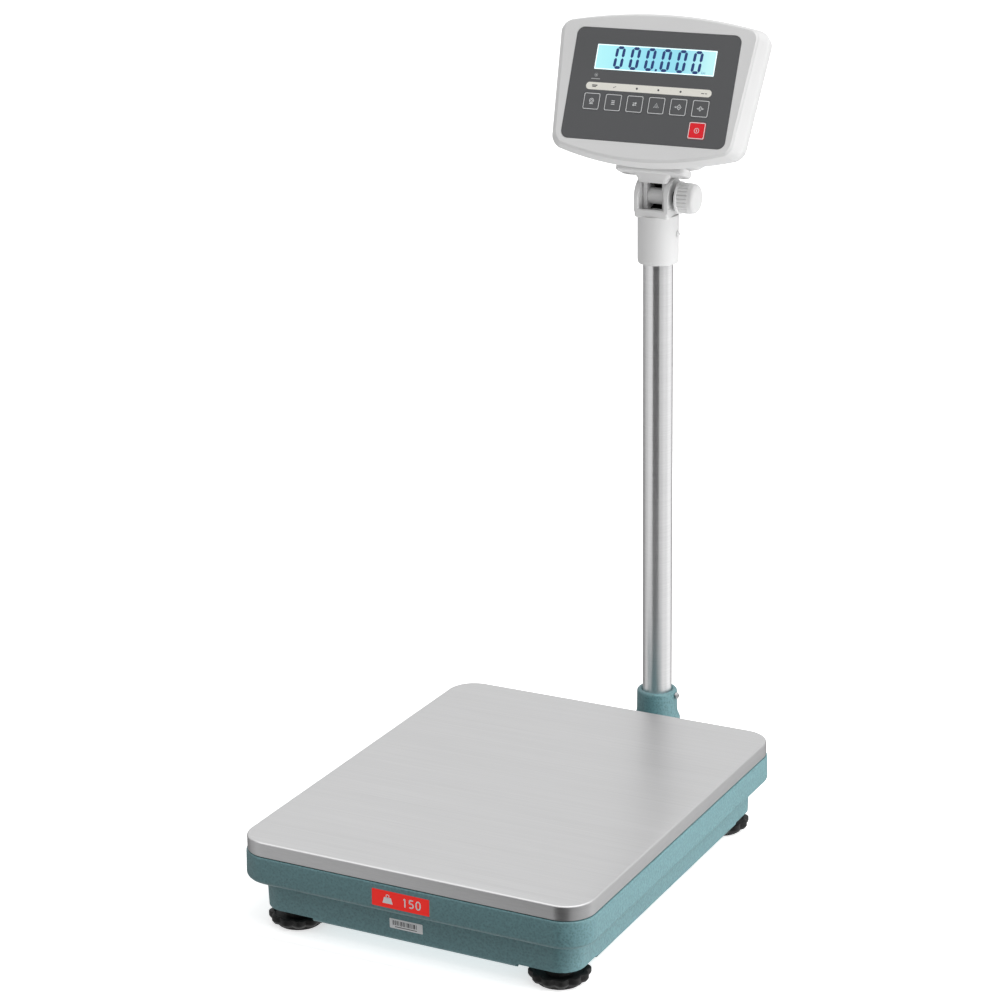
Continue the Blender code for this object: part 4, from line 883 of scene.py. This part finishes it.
def keypad_overlay(mats):
    film = put("keypad_overlay_fine",
               block(*OVERLAY_HALF, OVERLAY_CORNER, OVERLAY_LOWER, OVERLAY_TOP, 16), FACE, mats["film"])
    cut(film, block(LCD_SIZE[0] / 2, LCD_SIZE[1] / 2, 0.0005, -THROUGH, THROUGH, 3),
        FACE @ upright(*LCD_CENTRE, 0))
    opening = [size / 2 + GAP for size in KEY_SIZE]
    for _, x, y in key_places():
        cut(film, block(*opening, 0.0023, -THROUGH, THROUGH, 6), FACE @ upright(x, y, 0))
    dress(film, "display_head", "panel_film", "keypad_overlay")


# ---- flat printed shapes, in metres on a face ----
def bar(start, end, width):
    """A straight stroke with square ends."""
    start, end = Vector(start), Vector(end)
    along = (end - start).normalized()
    side = Vector((-along.y, along.x)) * width / 2
    return [tuple(start - side), tuple(end - side), tuple(end + side), tuple(start + side)]


def pointed(start, end, width):
    """A display segment: a stroke whose ends come to a point."""
    start, end = Vector(start), Vector(end)
    along = (end - start).normalized() * width / 2
    side = Vector((-along.y, along.x))
    return [tuple(start), tuple(start + along - side), tuple(end - along - side), tuple(end),
            tuple(end - along + side), tuple(start + along + side)]


def disc(centre, radius, steps=24):
    return [(centre[0] + x, centre[1] + y) for x, y, z in circle(radius, 0, steps)]


def strokes(points, width, closed=False):
    """Strokes along a chain of points."""
    pairs = list(zip(points, points[1:]))
    if closed:
        pairs.append((points[-1], points[0]))
    return [bar(a, b, width) for a, b in pairs]


def moved(outlines, x, y):
    return [[(px + x, py + y) for px, py in outline] for outline in outlines]


def scaled(outlines, factor):
    return [[(px * factor, py * factor) for px, py in outline] for outline in outlines]


def zero_digit(width, height, stroke, gap):
    """A seven-segment nought."""
    w, h = width / 2, height / 2
    corners = [(-w, h), (w, h), (w, 0), (w, -h), (-w, -h), (-w, 0)]
    shapes = []
    for a, b in zip(corners, corners[1:] + corners[:1]):
        a, b = Vector(a), Vector(b)
        along = (b - a).normalized() * gap
        shapes.append(pointed(a + along, b - along, stroke))
    return shapes


def numeral(kind):
    """Plain numerals 1, 5 and 0, one unit high, made of straight strokes."""
    w = 0.15
    shapes = {
        "1": strokes([(-0.14, 0.30), (0.02, 0.45), (0.02, -0.5)], w),
        "5": strokes([(0.24, 0.43), (-0.20, 0.43), (-0.22, 0.02), (0.04, 0.08), (0.22, -0.06),
                      (0.24, -0.26), (0.08, -0.43), (-0.24, -0.40)], w),
        "0": strokes([(-0.24, 0.20), (-0.12, 0.43), (0.12, 0.43), (0.24, 0.20), (0.24, -0.20),
                      (0.12, -0.43), (-0.12, -0.43), (-0.24, -0.20)], w, True),
    }
    return shapes[kind]


def key_art():
    """One simple sign for each key, in millimetres."""
    ring = disc((0, 0.6), 2.6, 20)
    return {
        "print": strokes(ring, 0.55, True) + strokes(disc((0, 0.6), 1.2, 14), 0.5, True)
        + [bar((-2.4, -3.0), (2.4, -3.0), 0.6)],
        "function": [bar((-2.0, y), (2.0, y), 0.8) for y in (1.9, 0.0, -1.9)],
        "unit": [bar((-2.2, 1.1), (2.0, 1.1), 0.7), bar((-2.0, -1.1), (2.2, -1.1), 0.7)]
        + strokes([(1.0, 2.2), (2.2, 1.1), (1.0, 0.0)], 0.6)
        + strokes([(-1.0, 0.0), (-2.2, -1.1), (-1.0, -2.2)], 0.6),
        "total": [disc((x * 1.5, y), 0.55, 10) for x, y in ((0, 2.2), (-0.6, 0.8), (0.6, 0.8),
                                                         (-1.2, -0.6), (0, -0.6), (1.2, -0.6),
                                                         (-1.8, -2.0), (-0.6, -2.0), (0.6, -2.0),
                                                         (1.8, -2.0))],
        "tare": strokes([(1.0, 3.0), (3.6, 0), (1.0, -3.0), (-1.6, 0)], 0.55, True)
        + [disc((1.0, 0), 0.6, 12), bar((-4.6, 0), (-2.2, 0), 0.5)]
        + strokes([(-3.2, 0.9), (-2.2, 0), (-3.2, -0.9)], 0.5),
        "zero": strokes([(-1.1, 1.4), (0, 2.6), (1.1, 1.4), (1.1, -1.4), (0, -2.6), (-1.1, -1.4)],
                        0.6, True)
        + [bar((-4.2, 0), (-2.0, 0), 0.5), bar((2.0, 0), (4.2, 0), 0.5)]
        + strokes([(-2.9, 0.8), (-2.0, 0), (-2.9, -0.8)], 0.5)
        + strokes([(2.9, 0.8), (2.0, 0), (2.9, -0.8)], 0.5),
        "power": strokes(disc((0, 0), 2.7, 24), 0.55, True) + [bar((0, -1.2), (0, 1.2), 0.8)],
    }


def printed(name, shapes, low, high, where, mat, body, slot):
    """Flat ink shapes, given in millimetres, as one thin piece."""
    dress(put(name, prisms(scaled(shapes, MM), low, high), where, mat), body, slot)


def keys(mats):
    """Each key's cap with its printed frame and sign."""
    art = key_art()
    half_x = KEY_SIZE[0] / 2
    half_y = KEY_SIZE[1] / 2
    under = -0.0006
    for name, x, y in key_places():
        where = FACE @ upright(x, y, 0)
        power = name == "power"
        rings = [rectangle(0.0060, 0.0055, 0.001, -0.0080, 4), rectangle(0.0060, 0.0055, 0.001, under, 4),
                 rectangle(half_x, half_y, 0.0020, under, 4), rectangle(half_x, half_y, 0.0020, 0.0001, 4),
                 rectangle(half_x - 0.0003, half_y - 0.0003, 0.0018, 0.0004, 4)]
        cap = put(f"key_{name}_cap", loft(rings), where, mats["red" if power else "film"])
        dress(cap, f"{name}_key", "red_key" if power else "panel_film", f"key_{name}")
        border = band(half_x - 0.0003, half_y - 0.0003, 0.0018, *PRINT_ON_KEY,
                      0.0008 if power else 0.00062, 0.7, 6)
        dress(put(f"key_{name}_frame", border, where, mats["white"]), f"{name}_key", "panel_film")
        printed(f"key_{name}_sign", art[name], *PRINT_ON_KEY, where,
                mats["pale" if name == "total" else "white"], f"{name}_key", "panel_film")


def display(mats):
    """The lit window with its digits."""
    where = FACE @ upright(*LCD_CENTRE, 0)
    half_x = LCD_SIZE[0] / 2 - GAP
    half_y = LCD_SIZE[1] / 2 - GAP
    glass = put("lcd_glass", block(half_x, half_y, 0.0005, -0.0080, -0.0004, 3), where, mats["glow"])
    dress(glass, "display_head", "display", "lcd_display")
    edge = put("lcd_rim", band(half_x, half_y, 0.0005, -0.0005, -0.0002, 0.0009), where,
               mats["glow_edge"])
    dress(edge, "display_head", "display")
    shapes = []
    for i in range(6):
        shapes += moved(zero_digit(8.1, 22.8, 3.4, 0.35), -44.1 + 18.95 * i, 0.0)
    shapes.append(bar((2.0, -11.5), (4.6, -11.5), 2.6))
    slant = math.tan(math.radians(3.5))
    shapes = [[(x + y * slant, y) for x, y in shape] for shape in shapes]
    printed("lcd_digits", shapes, *PRINT_ON_GLASS, where, mats["digit"], "display_head", "display")
    small = [bar((58.2, -12.4), (58.2, -9.6), 0.6), bar((59.3, -12.4), (60.8, -10.4), 0.6),
             bar((61.8, -12.4), (61.8, -10.4), 0.6)]
    printed("lcd_unit", small, *PRINT_ON_GLASS, where, mats["digit_faint"], "display_head", "display")


def panel_print(mats):
    """What is printed on the overlay: the status strip, its marks, and the lamp mark."""
    strip = rectangle(0.0765, 0.0042, 0.0041, 0, 10)
    strip = [(x - 0.0018, y - 0.0028) for x, y, z in strip]
    piece = put("status_strip", prisms([strip], OVERLAY_TOP, OVERLAY_TOP + 0.0001), FACE, mats["cream"])
    dress(piece, "display_head", "panel_film")
    marks = [bar((-71.0, -2.0), (-64.4, -2.0), 1.1), bar((-70.4, -3.6), (-65.6, -3.6), 0.9),
             bar((-44.6, -3.4), (-41.2, -2.0), 0.6), bar((62.4, -3.2), (66.0, -3.2), 0.8),
             bar((67.0, -3.2), (69.4, -3.2), 0.8)]
    marks += [disc((x, -2.9), 1.2, 16) for x in (-15.6, 10.6, 37.6)]
    printed("strip_marks", marks, OVERLAY_TOP, OVERLAY_TOP + 0.00016, FACE, mats["dark"],
            "display_head", "panel_film")
    lamp = [disc((-68.0, 9.8), 0.9, 16), bar((-73.4, 5.4), (-62.6, 5.4), 0.8)]
    lamp += strokes(disc((-68.0, 9.8), 1.9, 16), 0.3, True)
    printed("lamp_mark", lamp, OVERLAY_TOP, OVERLAY_TOP + 0.00010, FACE, mats["pale"],
            "display_head", "panel_film")


# ---- stickers on the base ----
def sticker(name, low, high, reach_low, reach_high, mat, thickness):
    """A thin label on the base's front face, which leans a little from its low to its high edge."""
    x_middle = (low[0] + high[0]) / 2
    half_x = (high[0] - low[0]) / 2
    half_z = (high[1] - low[1]) / 2
    lean = math.atan2(reach_low - reach_high, 2 * half_z)
    centre = Vector((x_middle, MIDDLE - (reach_low + reach_high) / 2, (low[1] + high[1]) / 2))
    where = Matrix.Translation(centre) @ Matrix.Rotation(math.pi / 2 - lean, 4, "X")
    piece = put(name, block(half_x, half_z, 0.0008, -0.0001, thickness, 4), where, mat)
    dress(piece, "base", "hammer_paint")
    return where


def stickers(mats):
    half_y = (BASE_HIGH.y - BASE_LOW.y) / 2
    # The capacity sticker's faint glow is painted light.
    where = sticker("capacity_sticker", (-0.0360, 0.0640), (0.0305, 0.0824), half_y - 0.00005,
                    half_y - 0.00052, mats["sticker_red_painted_glow"], 0.00004)
    shapes = []
    for kind, x in (("1", 5.0), ("5", 12.5), ("0", 20.5)):
        shapes += moved(scaled(numeral(kind), 9.6), x, 0)
    weight = [(-21.0, -4.6), (-9.0, -4.6), (-11.0, 2.0), (-19.0, 2.0)]
    shapes.append(weight)
    shapes += strokes(disc((-15.0, 3.4), 1.7, 16), 0.9, True)
    printed("capacity_sticker_print", shapes, 0.00002, 0.00008, where, mats["white"],
            "base", "hammer_paint")
    tier = half_y - TIER_INSET
    where = sticker("serial_sticker", (-0.0264, 0.0322), (0.0122, 0.0432), tier + 0.00036,
                    tier + 0.00076, mats["white"], 0.00010)
    shapes = []
    x = -15.6
    for i in range(19):
        width = 0.35 + 0.75 * ((i * 7) % 5) / 4
        shapes.append(bar((x, -1.6), (x, 3.6), width))
        x += width / 2 + 0.9 + 0.55 * ((i * 3) % 4) / 3
        if x > 15.6:
            break
    shapes.append(bar((-13.0, -3.4), (12.6, -3.4), 0.8))
    printed("serial_sticker_print", shapes, 0.00006, 0.00016, where, mats["dark"],
            "base", "hammer_paint")


# ---- CAD nodes that keep their shape ----
def finish_nodes(mats):
    finishes = {
        "alloy": ("load_cell", "spider_frame"),
        "plated": ("cell_seat_plate", "cell_top_plate", "base_cell_bolt_1", "base_cell_bolt_2",
                   "spider_cell_bolt_1", "spider_cell_bolt_2", "overload_stop_1", "overload_stop_2",
                   "arm_bolt_1", "arm_bolt_2", "socket_screw", "tilt_bolt", "housing_screw_1",
                   "housing_screw_2", "housing_screw_3", "housing_screw_4"),
        "grey": ("hinge_sleeve", "yoke_screw", "bracket_screw_1", "bracket_screw_2"),
        "rubber": ("cable_grommet", "cell_cable", "platter_pad_1", "platter_pad_2",
                   "platter_pad_3", "platter_pad_4"),
        "black": ("knob_washer", "battery", "power_jack", "cable_gland"),
        "board": ("main_board",),
    }
    for key, names in finishes.items():
        for name in names:
            node = NODES[name]
            node.data.materials.clear()
            node.data.materials.append(mats[key])


# ---- camera, floor and light ----
CAMERA_AZIMUTH = 27.715         # degrees that the camera stands to the right of straight ahead
BOARD_ZERO = 27.7               # degrees; the boards' angles are counted from here


def camera():
    data = bpy.data.cameras.new("camera")
    data.lens = 101.7
    data.sensor_width = 36.0
    data.clip_end = 100.0
    cam = bpy.data.objects.new("camera", data)
    azimuth, elevation, roll = math.radians(CAMERA_AZIMUTH), math.radians(-17.716), math.radians(-0.882)
    turn = (Matrix.Rotation(azimuth, 4, "Z") @ Matrix.Rotation(math.pi / 2 + elevation, 4, "X")
            @ Matrix.Rotation(roll, 4, "Z"))
    cam.matrix_world = Matrix.Translation((1.3013, -2.5038 + MIDDLE, 1.3295)) @ turn
    bpy.context.scene.collection.objects.link(cam)
    bpy.context.scene.camera = cam


def reflection_sheet(name, start, end, level, low, high):
    """An upright curved sheet around the scale that only shows in reflections.

    It spans two angles, in degrees from the camera's side and growing to the right, and glows
    evenly, as a white or black studio board would.
    """
    bm = bmesh.new()
    columns = []
    steps = max(2, int(abs(end - start) / 5))
    for i in range(steps + 1):
        angle = math.radians(BOARD_ZERO + start + (end - start) * i / steps)
        x, y = BOARD_DISTANCE * math.sin(angle), COLUMN_Y - BOARD_DISTANCE * math.cos(angle)
        columns.append([bm.verts.new((x, y, z)) for z in (low, high)])
    for near, far in zip(columns, columns[1:]):
        bm.faces.new((near[0], far[0], far[1], near[1]))
    glow_only(name, bm, level)


def flat_sheet(half, middle=(0, 0, 0)):
    bm = bmesh.new()
    bmesh.ops.create_grid(bm, x_segments=1, y_segments=1, size=half)
    bmesh.ops.translate(bm, verts=bm.verts, vec=middle)
    return bm


def glow_only(name, bm, level):
    """A sheet that glows evenly and shows only in reflections."""
    mat = bpy.data.materials.new(name)
    mat.use_nodes = True
    surface = mat.node_tree.nodes["Principled BSDF"]
    surface.inputs["Base Color"].default_value = (0, 0, 0, 1)
    surface.inputs["Specular IOR Level"].default_value = 0
    surface.inputs["Emission Color"].default_value = (1, 1, 1, 1)
    surface.inputs["Emission Strength"].default_value = level
    sheet = put(name, bm, Matrix.Identity(4), mat)
    sheet.visible_camera = False
    sheet.visible_diffuse = False
    sheet.visible_shadow = False
    sheet.visible_transmission = False
    return sheet


def soft_sun(name, towards, energy, spread):
    """A broad even light from far away; the direction points at the light."""
    data = bpy.data.lights.new(name, "SUN")
    data.energy = energy
    data.angle = math.radians(spread)
    lamp = bpy.data.objects.new(name, data)
    lamp.rotation_euler = Vector(towards).to_track_quat("Z", "Y").to_euler()
    bpy.context.scene.collection.objects.link(lamp)


def low_light():
    """A long low soft box on the right, level with the base."""
    data = bpy.data.lights.new("low_side", "AREA")
    data.shape = "RECTANGLE"
    data.size = 0.9
    data.size_y = 0.25
    data.energy = 7.0
    lamp = bpy.data.objects.new("low_side", data)
    lamp.matrix_world = sideways(1.05, 0.0, 0.14)
    lamp.visible_camera = False
    lamp.visible_glossy = False
    bpy.context.scene.collection.objects.link(lamp)


def shade_board():
    """A dim board on the floor in front, which only takes soft light off the base's front."""
    board = glow_only("shade_board", flat_sheet(0.5, (-0.20, BASE_LOW.y - 0.50, 0.0015)), 0.20)
    board.visible_diffuse = True
    board.visible_glossy = False


def studio():
    """A pale glowing floor, an even white surround, soft lights, and boards for the reflections."""
    floor_mat = Shader("floor_pale", (0.90, 0.90, 0.90), 0.7, Specular_IOR_Level=0.0)
    floor_mat.bump(floor_mat.noise(300.0), 0.02, 0.0001)
    floor_mat.set("Emission Color", (1.0, 1.0, 1.0, 1.0))
    floor_mat.set("Emission Strength", 0.60)
    floor = put("floor", flat_sheet(40), Matrix.Identity(4), floor_mat.mat)
    floor.visible_diffuse = False
    floor.visible_glossy = False
    floor.visible_shadow = False
    world = bpy.data.worlds.new("studio")
    world.use_nodes = True
    surround = world.node_tree.nodes["Background"]
    surround.inputs["Color"].default_value = (1.0, 1.0, 1.0, 1.0)
    surround.inputs["Strength"].default_value = 0.58
    bpy.context.scene.world = world
    bpy.context.scene.view_settings.view_transform = "Standard"
    soft_sun("key", (0.50, -0.03, 0.86), 1.65, 50)
    soft_sun("bounce", (0.10, 0.0, -0.99), 0.9, 120)
    low_light()
    shade_board()
    around = ((-43, 6, 0.05), (6, 38, 0.54), (38, 78, 0.72), (78, 130, 0.98))
    behind = ((130, 180, 0.30), (180, 246, 0.25))
    left = ((246, 276, 0.58), (276, 317, 0.74))
    for start, end, level in around + behind + left:
        reflection_sheet(f"low_board_{start}", start, end, level, -BOARD_DISTANCE, BOARD_SPLIT)
    for start, end, level in around + ((130, 246, 0.97),) + left:
        reflection_sheet(f"high_board_{start}", start, end, level, BOARD_SPLIT, BOARD_DISTANCE)
    glow_only("ceiling_board", flat_sheet(BOARD_DISTANCE, (0, 0, BOARD_DISTANCE + 0.2)), 1.6)


def build():
    mats = palette()
    camera()
    base_casting(mats)
    platter(mats)
    for number in range(1, 5):
        foot_wheel(number, mats)
        foot_sole(number, mats)
    column_arm(mats)
    column_tube(mats)
    head_yoke(mats)
    tilt_bracket(mats)
    tilt_knob(mats)
    front_housing(mats)
    rear_housing(mats)
    keypad_overlay(mats)
    keys(mats)
    display(mats)
    panel_print(mats)
    stickers(mats)
    finish_nodes(mats)
    studio()


build()
